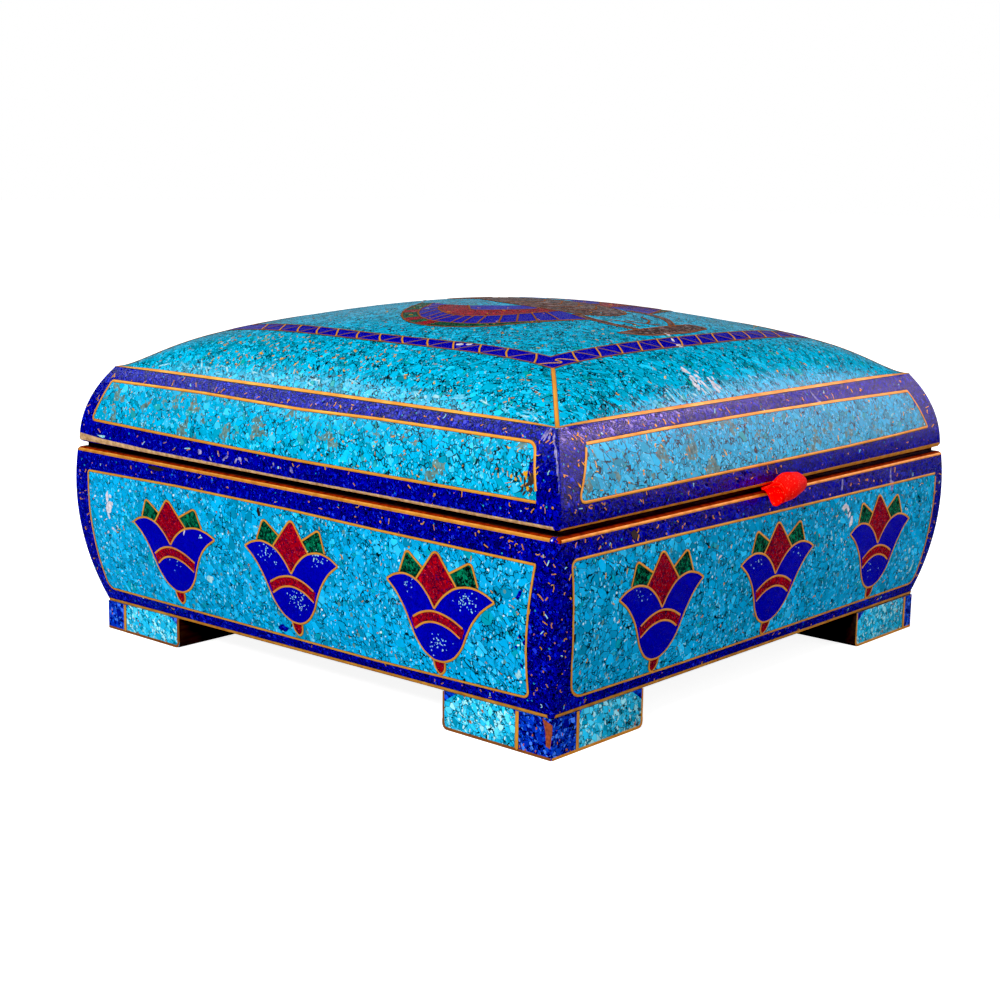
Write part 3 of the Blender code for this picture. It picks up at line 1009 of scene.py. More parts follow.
# Clusters of pale dots that the lapis petals show: side, middle, spread and how many
PETAL_DOTS = [("left", (-8.5, 40.0), (4.0, 2.6), 26), ("left", (13.0, 41.5), (3.6, 2.4), 30),
              ("left", (3.0, 27.0), (4.5, 3.6), 44), ("left", (70.0, 39.2), (4.4, 2.6), 44),
              ("left", (49.0, 39.5), (3.0, 2.4), 10), ("left", (58.0, 25.5), (4.4, 3.6), 34),
              ("left", (-38.5, 40.0), (0.7, 0.7), 8), ("left", (-53.0, 28.0), (4.0, 3.0), 6),
              ("front", (-66.0, 40.0), (4.0, 2.5), 9), ("front", (-10.0, 40.0), (4.0, 2.5), 7),
              ("front", (11.0, 40.5), (4.0, 2.0), 6), ("front", (60.0, 27.0), (4.0, 3.0), 6)]
# Flecks lie a hair over the petals
SPECK_LAYER = FLOWER_LAYERS["cup"] + 0.015
specks = random.Random(3)


def draw_speck(bm, place, size):
    """A fleck of stone with six corners, a little longer one way."""
    turn = Matrix.Rotation(math.radians(specks.uniform(0.0, 180.0)), 2)
    line = [Vector(p) * size for p in arc((0, 0), 0.5, 0, 300, 5)]
    draw_plate(bm, [turn @ Vector((p.x * 1.5, p.y)) + Vector(place) for p in line], SPECK_LAYER,
               SPECK)


def draw_flowers(bm, side):
    for flower in FLOWERS[side]:
        draw_flower_stones(bm, flower)
    for speck_side, (x, z), (wide, high), count in PETAL_DOTS:
        for _ in range(count if speck_side == side else 0):
            place = (x + specks.gauss(0.0, wide / 2), z + specks.gauss(0.0, high / 2))
            draw_speck(bm, place, specks.uniform(0.18, 0.42))


finish_piece("tray_flowers", round_the_box(FLOWERS, draw_flowers, *TRAY_BEND),
             [lapis_smooth, coral, malachite, pale_stone_and_glare])

# %% [markdown]
# ## The wires of the walls
# Each wire is a strip of brass a little over half a millimetre wide. Along the flowers it stops a
# little short of the next wire in places, as the real one does, so a small seeded random cut is
# taken off some ends.

# %% The wires of the walls
FLOWER_WIRE = 0.56
# The most that may be missing at each end of a flower's wires
FLOWER_CUTS = {"sepal": 0.3, "other_sepal": 0.3, "red": 0.1, "stem": 0.0, "cup": 0.1, "top": 0.2,
               "other_top": 0.2, "band_top": 0.9, "band_foot": 0.9}
# Panels whose wire begins and ends without meeting
GAPPED = {("tray", "front"), ("lid", "left"), ("lid", "front")}
PANEL_WIRE = {"tray": 0.62, "lid": 0.7}
hand = random.Random(8)


def shortened(line, most):
    """The line without a small random piece of each end."""
    line = list(line)
    for end in (0, -1):
        step = line[1 if end == 0 else -2] - line[end]
        line[end] = line[end] + step.normalized() * min(hand.uniform(0.0, most), step.length * 0.9)
    return line


def draw_panel_wire(bm, part, side, corners):
    closed = (part, side) not in GAPPED
    draw_wire(bm, eased(corners, closed), PANEL_WIRE[part], closed)


def draw_tray_wires(bm, side):
    draw_panel_wire(bm, "tray", side, TRAY_PANELS[side])
    for flower in FLOWERS[side]:
        for name, most in FLOWER_CUTS.items():
            draw_wire(bm, shortened(placed(PATTERN[name], flower), most), FLOWER_WIRE)


def draw_lid_wires(bm, side):
    draw_panel_wire(bm, "lid", side, LID_PANELS[side])


finish_piece("tray_wires", round_the_box(TRAY_PANELS, draw_tray_wires, *TRAY_BEND),
             [brass, seam], 40.0)
finish_piece("lid_wires", round_the_box(LID_PANELS, draw_lid_wires, *SKIRT_BEND),
             [brass, seam], 40.0)

# %% [markdown]
# ## The edge strips
# Broader brass strips guard the edges: one along the tray's foot, one along its rim and one along
# the lid's edge. They stop just short of the corners, each side at its own length.

# %% The edge strips
FOOT_STRIP_Z = 11.95
FOOT_STRIP_WIDTH = 0.9
RIM_STRIP_Z = 59.6
# How each strip is bent
RIM_BEND = (tray_half, RIM_STRIP_Z - 0.5, RIM_STRIP_Z + 0.5, 0.3)
LID_EDGE_BEND = (skirt_half, 61.5, 65.1, 0.6)
FOOT_STRIP_ENDS = {"left": (-93.6, 93.3), "front": (-94.0, 95.0), "right": (-93.5, 93.5),
                   "back": (-93.5, 93.5)}
# The rim's strips have a width of their own as well
RIM_STRIPS = {"left": (-99.6, 97.3, 0.9), "front": (-99.7, 99.6, 0.75),
              "right": (-99.5, 99.0, 0.8), "back": (-99.2, 99.4, 0.8)}
# The lid's strips are worn to an uneven width, so their whole outline is given
LID_STRIPS = {
    "left": [(-99.3, 62.6), (-60.0, 62.2), (0.0, 62.1), (97.9, 61.95), (97.9, 62.95), (0.0, 62.9),
             (-60.0, 63.3), (-88.0, 64.1), (-99.3, 64.9)],
    "front": [(-99.2, 61.8), (0.0, 61.95), (98.9, 62.1), (98.9, 63.4), (0.0, 62.9), (-99.2, 62.6)],
    "right": [(-98.9, 62.0), (98.9, 62.0), (98.9, 63.1), (-98.9, 63.1)],
}
LID_STRIPS["back"] = LID_STRIPS["right"]


def foot_line_at(side, along):
    """The height of the sunken foot line at one place of a side."""
    turn = Matrix.Rotation(math.radians(TURNS[side]), 2)
    return FOOT_STRIP_Z - foot_line_drop(*(turn @ Vector((along, -TRAY_HALF))))


def draw_foot_strip(bm, side):
    draw_wire(bm, [(end, foot_line_at(side, end)) for end in FOOT_STRIP_ENDS[side]],
              FOOT_STRIP_WIDTH)


def draw_rim_strip(bm, side):
    start, end, width = RIM_STRIPS[side]
    draw_wire(bm, [(start, RIM_STRIP_Z), (end, RIM_STRIP_Z)], width, seam_width=0.0)


def draw_lid_strip(bm, side):
    # The lid's left strip is paler brass than the others
    draw_plate(bm, LID_STRIPS[side], 0.0, 1 if side == "left" else 0)


finish_piece("tray_foot_strips", round_the_box(TURNS, draw_foot_strip, tray_half),
             [old_brass, seam], 50.0)
finish_piece("tray_rim_strips", round_the_box(TURNS, draw_rim_strip, *RIM_BEND),
             [old_brass], 50.0)
finish_piece("lid_edge_strips", round_the_box(TURNS, draw_lid_strip, *LID_EDGE_BEND),
             [old_brass, pale_brass], 50.0)

# %% [markdown]
# ## The border on the lid
# A square band of lapis runs round the lid, between two wires, with one wire bent to a zigzag in
# it. Its sides bow outwards a little. From the band's corners a flat wire runs down each hip to the
# shoulder, where another wire follows the edge of the top.

# %% The border on the lid
# Corners of the band's two edges, from the front left round, and the middles of the sides between
OUTER_CORNERS = [(-66.3, -69.0), (66.5, -68.6), (66.5, 67.5), (-66.0, 67.3)]
OUTER_MIDDLES = [(0.0, -71.3), (70.6, 0.0), (0.0, 70.8), (-70.4, -2.0)]
INNER_CORNERS = [(-59.3, -62.3), (59.8, -62.2), (60.0, 61.4), (-59.4, 61.2)]
INNER_MIDDLES = [(0.0, -65.2), (65.2, 0.0), (0.0, 65.2), (-65.5, -4.0)]
ZIGZAG_PITCH = 9.3
ZIGZAG_LEANS = [5.1, 4.0, 4.0, 4.6]
ZIGZAG_STARTS = [10.5, 12.0, 10.5, 6.3]
# The two zigzags of the front left corner meet in a loose curl
CORNER_CURL = [(-66.8, -64.2), (-63.8, -65.6), (-61.4, -67.4), (-60.3, -66.8), (-60.6, -65.3),
               (-59.0, -65.0), (-57.4, -66.4), (-55.2, -69.0)]
# How far along its edge the last turn may lie, and how uneven the turns and rungs are
ZIGZAG_REACH = 126.0
TURN_SPREAD = 0.4
RUNG_BEND = 0.06
BAND_LAYER = -0.12
BORDER_WIRE = 0.5
THIN_WIRE = 0.38
# The wires down the hips end just inside the shoulder's corners
HIP_WIDTH = 1.05
HIP_END = (SHOULDER_HALF - 0.6, SHOULDER_HALF - 0.3)


def bowed_side(corners, middles, k):
    """One side of a square whose sides bow out through their middles."""
    return smooth_line([corners[k], middles[k], corners[(k + 1) % 4]], 9)


def bowed_square(corners, middles):
    """The four sides joined, without doubling the corners."""
    return [p for k in range(4) for p in bowed_side(corners, middles, k)[:-1]]


def at_length(line, length):
    """The point that lies this far along a line."""
    for start, end in zip(line, line[1:]):
        piece = (end - start).length
        if length <= piece:
            return start.lerp(end, length / piece)
        length -= piece
    return line[-1]


def zigzag(k):
    """The turns of the wire in one side of the band, which touches both its edges in turn."""
    outer = bowed_side(OUTER_CORNERS, OUTER_MIDDLES, k)
    inner = bowed_side(INNER_CORNERS, INNER_MIDDLES, k)
    lead = (outer[-1] - outer[0]).length - (inner[-1] - inner[0]).length
    points = []
    # The left side is drawn backwards, so that both wires start from the front left corner
    if k == 3:
        outer, inner = outer[::-1], inner[::-1]
    place = ZIGZAG_STARTS[k]
    while place < ZIGZAG_REACH:
        points.append(at_length(outer, place + hand.uniform(-TURN_SPREAD, TURN_SPREAD)))
        points.append(at_length(inner, place + ZIGZAG_LEANS[k] - lead / 2
                                + hand.uniform(-TURN_SPREAD, TURN_SPREAD)))
        place += ZIGZAG_PITCH
    return points


def draw_zigzag(bm, points):
    """Short brass rungs across the band, slightly bent, and thin slants between them in dark copper,
    which paints the shade that the diagonal runs of the same wire show.
    """
    for number, (start, end) in enumerate(zip(points, points[1:])):
        bend = Vector((start.y - end.y, end.x - start.x)) * hand.uniform(-RUNG_BEND, RUNG_BEND)
        line = smooth_line([start, (start + end) / 2 + bend, end], 3)
        slant = number % 2 == 1
        draw_wire(bm, line, THIN_WIRE if slant else BORDER_WIRE, material=2 if slant else 0)


band = bmesh.new()
for k in range(4):
    draw_plate(band, bowed_side(OUTER_CORNERS, OUTER_MIDDLES, k)
               + bowed_side(INNER_CORNERS, INNER_MIDDLES, k)[::-1], BAND_LAYER)
onto_dome(band)
finish_piece("lid_border", band, [lapis_smooth])

border = bmesh.new()
for corners, middles in ((OUTER_CORNERS, OUTER_MIDDLES), (INNER_CORNERS, INNER_MIDDLES)):
    draw_wire(border, bowed_square(corners, middles), BORDER_WIRE, closed=True, material=2)
draw_wire(border, smooth_line(CORNER_CURL, 3), BORDER_WIRE)
for k, corner in enumerate(OUTER_CORNERS):
    draw_zigzag(border, zigzag(k))
    end = Vector([math.copysign(reach, place) for reach, place in zip(HIP_END, corner)])
    draw_wire(border, [Vector(corner).lerp(end, share) for share in steps(0.0, 1.0, 12)], HIP_WIDTH)
onto_dome(border)
finish_piece("lid_border_wires", border, [brass, seam, copper_and_shaded_wire], 40.0)

# %% [markdown]
# ## The shoulder
# Where the top meets the skirt, one more wire hides the seam. It is drawn as a square and bent onto
# the very edge of the top, so it stays level along each side and droops a little at the corners.

# %% The shoulder
SHOULDER_WIRE = 0.6
SHOULDER_INSET = 0.42
edge_half = SHOULDER_HALF - SHOULDER_INSET
edge_corners = [(x * edge_half, y * edge_half) for x, y in ((-1, -1), (1, -1), (1, 1), (-1, 1))]
shoulder = bmesh.new()
draw_wire(shoulder, edge_corners, SHOULDER_WIRE, closed=True)
onto_dome(shoulder)
finish_piece("shoulder_wires", shoulder, [brass, seam], 50.0)

# %% [markdown]
# ## The picture on the lid
# Within the border stands a bird with spread wings, its feet on a little boat. Each wing has a rim
# of dark green with red blocks, a ring of blue feathers parted by wires, a red ring and a blue
# heart. Only the near half shows in most views, so one wing is drawn and mirrored.

# %% The picture on the lid
RIM_OUT = [(-21, 23), (-32, 18), (-42, 11.5), (-50, 3), (-53.5, -6), (-53, -15), (-50, -22.5),
           (-45, -28), (-36, -32.7), (-26, -37), (-15, -40.5)]
RIM_IN = [(-21, 18), (-30, 13.5), (-38.5, 8), (-45.2, 0.8), (-48.3, -7), (-48, -14.5),
          (-45.5, -21.5), (-41, -26.5), (-34, -31.3), (-25.5, -36), (-15, -40.5)]
RED_OUT = [(-24, 8.5), (-28, 8.9), (-31.9, 5.7), (-35.7, 1.0), (-39, -6.6), (-37.9, -12.9),
           (-32.8, -19.2), (-25, -23.3), (-16.8, -25.8), (-12, -26.5)]
RED_IN = [(-23, 1.5), (-25, -0.8), (-29.3, -5.6), (-27.5, -10.5), (-22, -16), (-16.4, -19.6),
          (-12.5, -19)]
HEART_CLOSE = [(-11.0, -15.0), (-18.4, -6.4), (-23.0, 0.7)]
# Each feather's wire, from the red ring out to the rim
FEATHERS = [((-24.5, 8.5), (-30.5, 13)), ((-29.5, 7.6), (-37, 8.6)), ((-33, 4.2), (-43, 3.2)),
            ((-36.5, -0.5), (-47, -2.2)), ((-39, -5), (-48.6, -5.2)), ((-39.2, -8), (-49.1, -7.9)),
            ((-38.6, -11.5), (-48.2, -14.4)), ((-37.4, -14), (-46.9, -17.9)),
            ((-35.2, -17), (-44.7, -22)), ((-31.4, -20.1), (-40.5, -26.7)),
            ((-26.7, -22.5), (-35.4, -29.4)), ((-22.5, -24.2), (-30.2, -32.9)),
            ((-17.5, -25.7), (-23.7, -35.8))]
BODY = [(0.0, -40.0), (6.0, -38.5), (10.5, -33), (12.6, -24), (12.4, -12), (10.5, -1), (7.0, 8),
        (4.4, 14.5), (4.0, 19.5)]
HEAD_PLACE = (0.0, 24.0)
HEAD_HALF = 5.6
BEAK = [(4.6, 22.2), (11.5, 22.6), (5.2, 27.2)]
TAIL_BARS = [-6.0, -13.0, -20.0, -27.0]
LEGS = [[(-12.0, -32.5), (-13.8, -40), (-13.6, -48), (-10.5, -57.0)],
        [(12.5, -34.0), (14.8, -41), (13.0, -49), (5.5, -57.0)]]
TALONS = [[(-4.0, -46.5), (-1.5, -51.0), (2.5, -54.0)], [(6.5, -44.0), (4.5, -48.5), (0.5, -51.0)],
          [(-8.5, -43.5), (-6.0, -48.5), (-6.5, -53.5)]]
BOAT = [(-21.5, -56.2, 1.0), (16.5, -55.6, 2.2), (19.5, -60.4, 2.6), (6.0, -62.8, 3.0),
        (-12.5, -62.2, 4.0)]
RED_BLOCKS = [0.21, 0.355, 0.445]
BLOCK_SHARE = 0.024
PICTURE_WIRE = 0.55
LEG_WIRE = 0.495
LEG_WIDTH = 2.4
PICTURE_LAYER = -0.1
# How far each part lies over the wings
BLOCK_RISE = 0.02
BODY_RISE = 0.03
BOAT_RISE = 0.04
HEAD_RISE = 0.05
GREEN_STONE, BLUE_STONE, RED_STONE, BROWN_STONE = range(4)


def share_of(line, share):
    """The point at this share of a line's length."""
    whole = sum((b - a).length for a, b in zip(line, line[1:]))
    return at_length(line, share * whole)


def span_of(line, start, end, count=4):
    return [share_of(line, share) for share in steps(start, end, count)]


picture, wires = bmesh.new(), bmesh.new()
rings = [smooth_line(points, 4) for points in (RIM_OUT, RIM_IN, RED_OUT, RED_IN)]
rim_out, rim_in, red_out, red_in = rings
stones = [(rim_out + rim_in[::-1], GREEN_STONE), (rim_in + red_out[::-1], BLUE_STONE),
          (red_out + red_in[::-1], RED_STONE), (red_in + HEART_CLOSE, BLUE_STONE)]
for sign in (1, -1):
    for outline, stone in stones:
        draw_plate(picture, sided(outline, sign), PICTURE_LAYER, stone)
    for share in RED_BLOCKS:
        ends = (share - BLOCK_SHARE, share + BLOCK_SHARE)
        block = span_of(rim_out, *ends) + span_of(rim_in, *ends)[::-1]
        draw_plate(picture, sided(block, sign), PICTURE_LAYER + BLOCK_RISE, RED_STONE)
    for line in rings + FEATHERS:
        draw_wire(wires, sided(line, sign), PICTURE_WIRE)
body = smooth_line(BODY, 4)
body_line = body + sided(body[1:], -1)[::-1]
draw_plate(picture, body_line, PICTURE_LAYER + BODY_RISE, BROWN_STONE)
draw_wire(wires, body_line, PICTURE_WIRE, closed=True)
head = [Vector(p) + Vector(HEAD_PLACE) for p in arc((0, 0), HEAD_HALF, 0, 337.5, 15)]
for outline in (head, BEAK):
    draw_plate(picture, outline, PICTURE_LAYER + HEAD_RISE, BROWN_STONE)
    draw_wire(wires, outline, PICTURE_WIRE, closed=True)
for y in TAIL_BARS:
    draw_wire(wires, smooth_line([(-9.5, y + 3), (0, y - 3), (9.5, y + 3)], 4), PICTURE_WIRE)
for leg in LEGS:
    draw_wire(picture, smooth_line(leg, 4), LEG_WIDTH, material=BROWN_STONE, edge=PICTURE_LAYER,
              crown=PICTURE_LAYER + BODY_RISE, seam_width=0.0)
    for offset in (-LEG_WIDTH / 2, LEG_WIDTH / 2):
        draw_wire(wires, smooth_line([(x + offset, y) for x, y in leg], 4), LEG_WIRE)
for talon in TALONS:
    draw_wire(wires, smooth_line(talon, 4))
boat = eased(BOAT)
draw_plate(picture, boat, PICTURE_LAYER + BOAT_RISE, BROWN_STONE)
draw_wire(wires, boat, closed=True)
for bm in (picture, wires):
    onto_dome(bm)
finish_piece("lid_picture", picture, [malachite, lapis_smooth, coral, agate])
finish_piece("lid_picture_wires", wires, [copper_and_shaded_wire, seam], 40.0)

# %% [markdown]
# ## Shavings of brass
# Filing the wires leaves brass in the wet resin, and it is ground flush with the stone. Each piece
# is a straight shaving, a little flake or an arc in four pieces. They are strewn by a seeded chance,
# thickest on the lapis and towards the front left corner. A few are slips of turquoise instead.

# %% Shavings of brass
CURL_LAYER = -0.045
# Bright brass, dark brass and turquoise, as often as they stand here
CURL_CHOICE = [0, 0, 0, 0, 0, 1, 1, 2]
curl_stones = [curl_brass, old_brass, pale_stone_and_glare]
# How many are straight, and how many are straight or flakes
STRAIGHT_SHARE = 0.45
FLAKE_SHARE = 0.65
FLAKE_LENGTH = 0.6
CURL_EDGE_GAP = 1.6
# How strongly the curls crowd towards the near end of a wall
NEAR_CROWDING = 1.5
TOP_CURL_SIZE = 0.8
strew = random.Random(21)


def direction(degrees):
    return Vector((math.cos(math.radians(degrees)), math.sin(math.radians(degrees))))


def draw_curl(bm, place, size=1.0):
    """A straight shaving, a flake or part of a ring, by chance."""
    start = strew.uniform(0.0, 360.0)
    way = direction(start)
    kind = strew.random()
    width = strew.uniform(0.16, 0.3)
    if kind < STRAIGHT_SHARE:
        reach = way * strew.uniform(0.25, 0.9) * size
        line = [Vector(place) - reach, Vector(place) + reach]
    elif kind < FLAKE_SHARE:
        width = strew.uniform(0.3, 0.55)
        reach = way * width * FLAKE_LENGTH
        line = [Vector(place) - reach, Vector(place) + reach]
    else:
        radius = strew.uniform(0.45, 1.3) * size
        turn = strew.uniform(40, 95) / radius
        line = arc(Vector(place) - way * radius, radius, start, start + turn, 4)
    draw_wire(bm, line, width, material=strew.choice(CURL_CHOICE), edge=CURL_LAYER, crown=None,
              seam_width=0.0)


# Where the curls lie on a wall: lowest and highest place along it, heights, and how many
CURL_AREAS = {
    "tray": [(-94, 97, 54.8, 58.6, 34), (-92, 96, 12.8, 14.2, 12), (94.6, 99.5, 16, 54, 24),
             (-99.5, -94.6, 16, 54, 18), (-90, 92, 17, 53, 70)],
    "lid": [(-90, 92, 82.9, 85.0, 36), (-94, 97, 64.4, 67.4, 24), (92.5, 98.0, 67, 82, 10),
            (-98.0, -92.5, 67, 82, 8), (-89, 90, 69.5, 81, 60)],
}
FLOWER_CLEAR = 17.5


def on_flower(side, along, z):
    return any(math.hypot(along - base, z - FLOWER_BASE) < FLOWER_CLEAR
               for base, *_ in FLOWERS[side])


def nearer(low, high, near_is_high):
    """A chance place between low and high, oftener near the chosen end."""
    share = strew.random() ** NEAR_CROWDING
    return high - (high - low) * share if near_is_high else low + (high - low) * share


def fits_wall(half_at, along, z):
    return abs(along) < half_at(z) - CURL_EDGE_GAP


def wall_curls(part, half_at):
    def draw(bm, side):
        for low, high, z_low, z_high, count in CURL_AREAS[part]:
            for _ in range(count):
                place = (nearer(low, high, side == "left"), strew.uniform(z_low, z_high))
                if fits_wall(half_at, *place) and (part == "lid" or not on_flower(side, *place)):
                    draw_curl(bm, place)
    return round_the_box(TURNS, draw, half_at)


finish_piece("tray_curls", wall_curls("tray", tray_half), curl_stones, 60.0)
finish_piece("lid_curls", wall_curls("lid", skirt_half), curl_stones, 60.0)

# On the lid's top: areas as lowest x and y, highest x and y, and how many
TOP_CURLS = [((-88.0, -20.0), (-72.0, 55.0), 130), ((-88.0, -80.0), (-72.0, -20.0), 34),
             ((-60.0, -88.0), (88.0, -73.0), 20), ((-57.0, -60.0), (-20.0, 20.0), 45),
             ((-20.0, -60.0), (57.0, 57.0), 30), ((-85.0, 72.0), (85.0, 86.0), 40),
             ((72.0, -85.0), (86.0, 85.0), 40)]
curls = bmesh.new()
for (x_low, y_low), (x_high, y_high), count in TOP_CURLS:
    for _ in range(count):
        place = (strew.uniform(x_low, x_high), strew.uniform(y_low, y_high))
        draw_curl(curls, place, TOP_CURL_SIZE)
onto_dome(curls, cut=False)
finish_piece("top_curls", curls, curl_stones, 60.0)

# %% [markdown]
# ## Marks of wear, glare and sheen
# The box has been used: there are chalky scuffs, a few pits where a chip has come out, and bare
# resin. Each mark is a ragged patch or a short streak, placed where the picture shows it, and
# swarms of small ones lie about some places. Along the shoulder, pale streaks are painted glare,
# and violet marks by the lid's corners and edges are painted sheen.

# %% Marks of wear, glare and sheen
MARK_LAYER = -0.03
# Each kind of mark lies a little deeper than the one before, so that no two share a level
MARK_STEP = 0.0025
# The two kinds before the last are painted glare and painted sheen; pale marks are scuffs, and painted
# glare where they lie along the shoulder
CHALKY, RESIN, PIT, BLUE, PALE, SHOULDER_GLARE, VIOLET_SHEEN, GOLD = range(8)
# Each mark: place, length, width, how far it is turned in degrees, and its kind
MARKS = {
    ("tray", "left"): [(-84.0, 46.0, 4.4, 1.6, 85, CHALKY), (-83.4, 42.8, 4.0, 2.8, 70, CHALKY),
                       (-85.5, 38.5, 1.2, 0.5, 20, CHALKY), (-80.0, 37.0, 1.0, 0.5, 120, CHALKY),
                       (-59.0, 58.2, 8.5, 1.5, 0, PIT), (-11.7, 51.5, 3.0, 1.5, 105, PIT),
                       (-46.0, 40.3, 2.6, 0.7, 75, CHALKY), (-36.0, 27.0, 3.2, 2.6, 0, PALE),
                       (88.0, 44.0, 4.0, 1.6, 70, BLUE), (-6.0, 17.0, 5.0, 2.2, 10, BLUE),
                       (86.0, 22.0, 3.6, 2.0, 60, PALE), (98.5, 59.7, 2.6, 1.5, 0, BLUE),
                       # The last small chalky dot, at the tray's near corner, is a painted highlight
                       (98.3, 59.6, 2.2, 1.4, 30, BLUE), (98.0, 59.7, 0.8, 0.5, 10, CHALKY)],
    ("tray", "front"): [(-70.0, 57.0, 3.0, 2.8, 0, RESIN), (-70.1, 57.1, 2.6, 3.0, 40, RESIN),
                        (37.2, 49.8, 3.0, 1.8, 20, CHALKY), (39.2, 49.0, 2.4, 1.4, 120, CHALKY),
                        (40.4, 47.2, 3.0, 1.2, 60, CHALKY),
                        (41.6, 44.6, 3.6, 2.0, 75, CHALKY), (65.5, 56.0, 6.5, 1.2, 92, VIOLET_SHEEN),
                        (66.5, 52.6, 4.4, 1.4, 80, VIOLET_SHEEN), (35.5, 57.0, 4.0, 1.0, 80, VIOLET_SHEEN),
                        (88.5, 22.0, 4.4, 0.8, 75, PALE), (-30.0, 45.0, 1.6, 0.6, 20, CHALKY)],
    ("lid", "left"): [(89.0, 73.0, 3.6, 2.0, 75, RESIN), (88.2, 75.8, 3.2, 4.0, 0, BLUE),
                      (-88.0, 64.9, 5.0, 0.9, 0, PALE), (-45.0, 66.0, 3.2, 0.5, 10, PALE),
                      # These violet marks along the near corner's edge are a painted highlight
                      (92.2, 83.6, 4.0, 0.7, 124, VIOLET_SHEEN), (94.4, 80.6, 4.6, 0.8, 118, VIOLET_SHEEN),
                      (96.2, 77.4, 4.0, 0.6, 113, VIOLET_SHEEN)],
    ("lid", "front"): [(29.6, 83.4, 4.4, 1.2, 120, VIOLET_SHEEN), (31.2, 81.0, 3.4, 1.4, 100, PALE),
                       (70.0, 75.0, 2.6, 0.9, 20, PALE), (86.0, 77.0, 2.0, 1.2, 80, BLUE)],
}
TOP_MARKS = [(-5.6, -63.0, 3.2, 1.4, 60, CHALKY), (-8.4, -66.8, 4.2, 1.0, 57, CHALKY),
             (-10.6, -70.6, 2.6, 2.2, 30, CHALKY), (-65.0, -33.6, 1.6, 2.6, 0, CHALKY),
             (-63.8, -36.4, 1.4, 2.0, 30, CHALKY), (-23.0, -82.0, 3.4, 1.3, 110, CHALKY),
             (-20.6, -87.0, 3.6, 1.2, 100, CHALKY), (-16.6, -87.6, 5.0, 1.3, 92, CHALKY),
             (-64.4, -88.6, 6.6, 0.45, 133, PIT), (-92.3, -92.0, 2.0, 0.9, 30, PALE)]
# Swarms of small marks: place, spread each way, how many, and of what
TOP_SWARMS = [((-22.6, -86.0), (1.6, 1.4), 16, CHALKY), ((-16.6, -87.6), (1.0, 1.6), 9, CHALKY),
              # The last two swarms, along the front shoulder, are painted glare
              ((-30.0, -88.6), (8.0, 0.9), 12, PALE), ((-50.0, -89.4), (9.0, 0.6), 12, SHOULDER_GLARE)]
WALL_SWARMS = {
    ("lid", "left"): [((87.4, 72.6), (1.5, 1.8), 12, RESIN), ((86.6, 72.6), (2.0, 2.0), 11, GOLD),
                      ((88.6, 84.4), (1.6, 0.5), 7, VIOLET_SHEEN), ((-18.0, 65.2), (12.0, 0.6), 12, VIOLET_SHEEN)],
    ("lid", "front"): [((-88.0, 76.0), (1.5, 3.0), 5, GOLD)],
    ("tray", "front"): [((35.0, 42.0), (3.0, 6.0), 8, PALE), ((84.0, 24.0), (3.0, 5.0), 12, PALE)],
    ("tray", "left"): [((-84.0, 39.0), (2.0, 4.0), 9, CHALKY), ((88.5, 25.0), (1.6, 5.0), 9, BLUE)],
}
# How many streaks of painted glare lie along the left and the front shoulder, and how near its edge they
# may come
LEFT_STREAKS = 90
FRONT_STREAKS = 26
LEFT_EDGE = -90.3
FRONT_EDGE = -90.0
# The streaks are painted glare, in two pale stones
STREAK_CHOICE = [PALE, SHOULDER_GLARE, SHOULDER_GLARE]
mark_stones = [chalk, bare_resin, painted_shade_and_pits, lapis, pale_stone_and_glare, painted_glare, painted_sheen, curl_brass]


def draw_mark(bm, x, y, length, width, turn, kind):
    """A ragged patch: nine points about an oval, each at its own distance."""
    line = []
    for angle in steps(0.0, 320.0, 8):
        far = strew.uniform(0.24, 0.62)
        point = Vector((length, width)) * direction(angle) * far
        line.append(Matrix.Rotation(math.radians(turn), 2) @ point + Vector((x, y)))
    draw_plate(bm, line, MARK_LAYER - MARK_STEP * kind, kind)


def draw_swarm(bm, middle, spread, count, kind, fits):
    """Small marks strewn about a place, most of them leaning the same way."""
    for _ in range(count):
        place = [strew.gauss(m, s) for m, s in zip(middle, spread)]
        length = strew.uniform(0.7, 2.2)
        width = length * strew.uniform(0.25, 0.7)
        turn = strew.gauss(100.0, 35.0)
        if fits(*place):
            draw_mark(bm, *place, length, width, turn, kind)


def draw_streak(bm, x, y, longest, widths, turn):
    """One pale streak of painted glare, of a length and width by chance."""
    draw_mark(bm, x, y, strew.uniform(1.0, longest), strew.uniform(*widths), strew.gauss(*turn),
              strew.choice(STREAK_CHOICE))


def wall_marks(part, half_at):
    def draw(bm, side):
        for mark in MARKS[part, side]:
            draw_mark(bm, *mark)
        for swarm in WALL_SWARMS.get((part, side), []):
            draw_swarm(bm, *swarm, lambda along, z: fits_wall(half_at, along, z))
    return round_the_box(("left", "front"), draw, half_at)


finish_piece("tray_marks", wall_marks("tray", tray_half), mark_stones)
finish_piece("lid_marks", wall_marks("lid", skirt_half), mark_stones)

top_marks = bmesh.new()
for mark in TOP_MARKS:
    draw_mark(top_marks, *mark)
for swarm in TOP_SWARMS:
    draw_swarm(top_marks, *swarm, lambda x, y: max(abs(x), abs(y)) < SHOULDER_HALF - 1.0)
for _ in range(LEFT_STREAKS):
    along = strew.uniform(-86.0, 70.0)
    draw_streak(top_marks, max(LEFT_EDGE, strew.gauss(-88.8, 0.7)), along, 5.0, (0.2, 0.7),
                (80.0, 20.0))
for _ in range(FRONT_STREAKS):
    along = strew.gauss(-16.0, 18.0)
    draw_streak(top_marks, along, max(FRONT_EDGE, strew.gauss(-88.6, 0.8)), 4.0, (0.3, 0.7),
                (115.0, 18.0))
onto_dome(top_marks, cut=False)
finish_piece("top_marks", top_marks, mark_stones)

# %% [markdown]
# ## The feet
# Each foot is a square block under a corner. Its two outer faces carry turquoise, with lapis next
# to the corner behind an upright wire, and brass along the edges. The inner faces are bare wood.

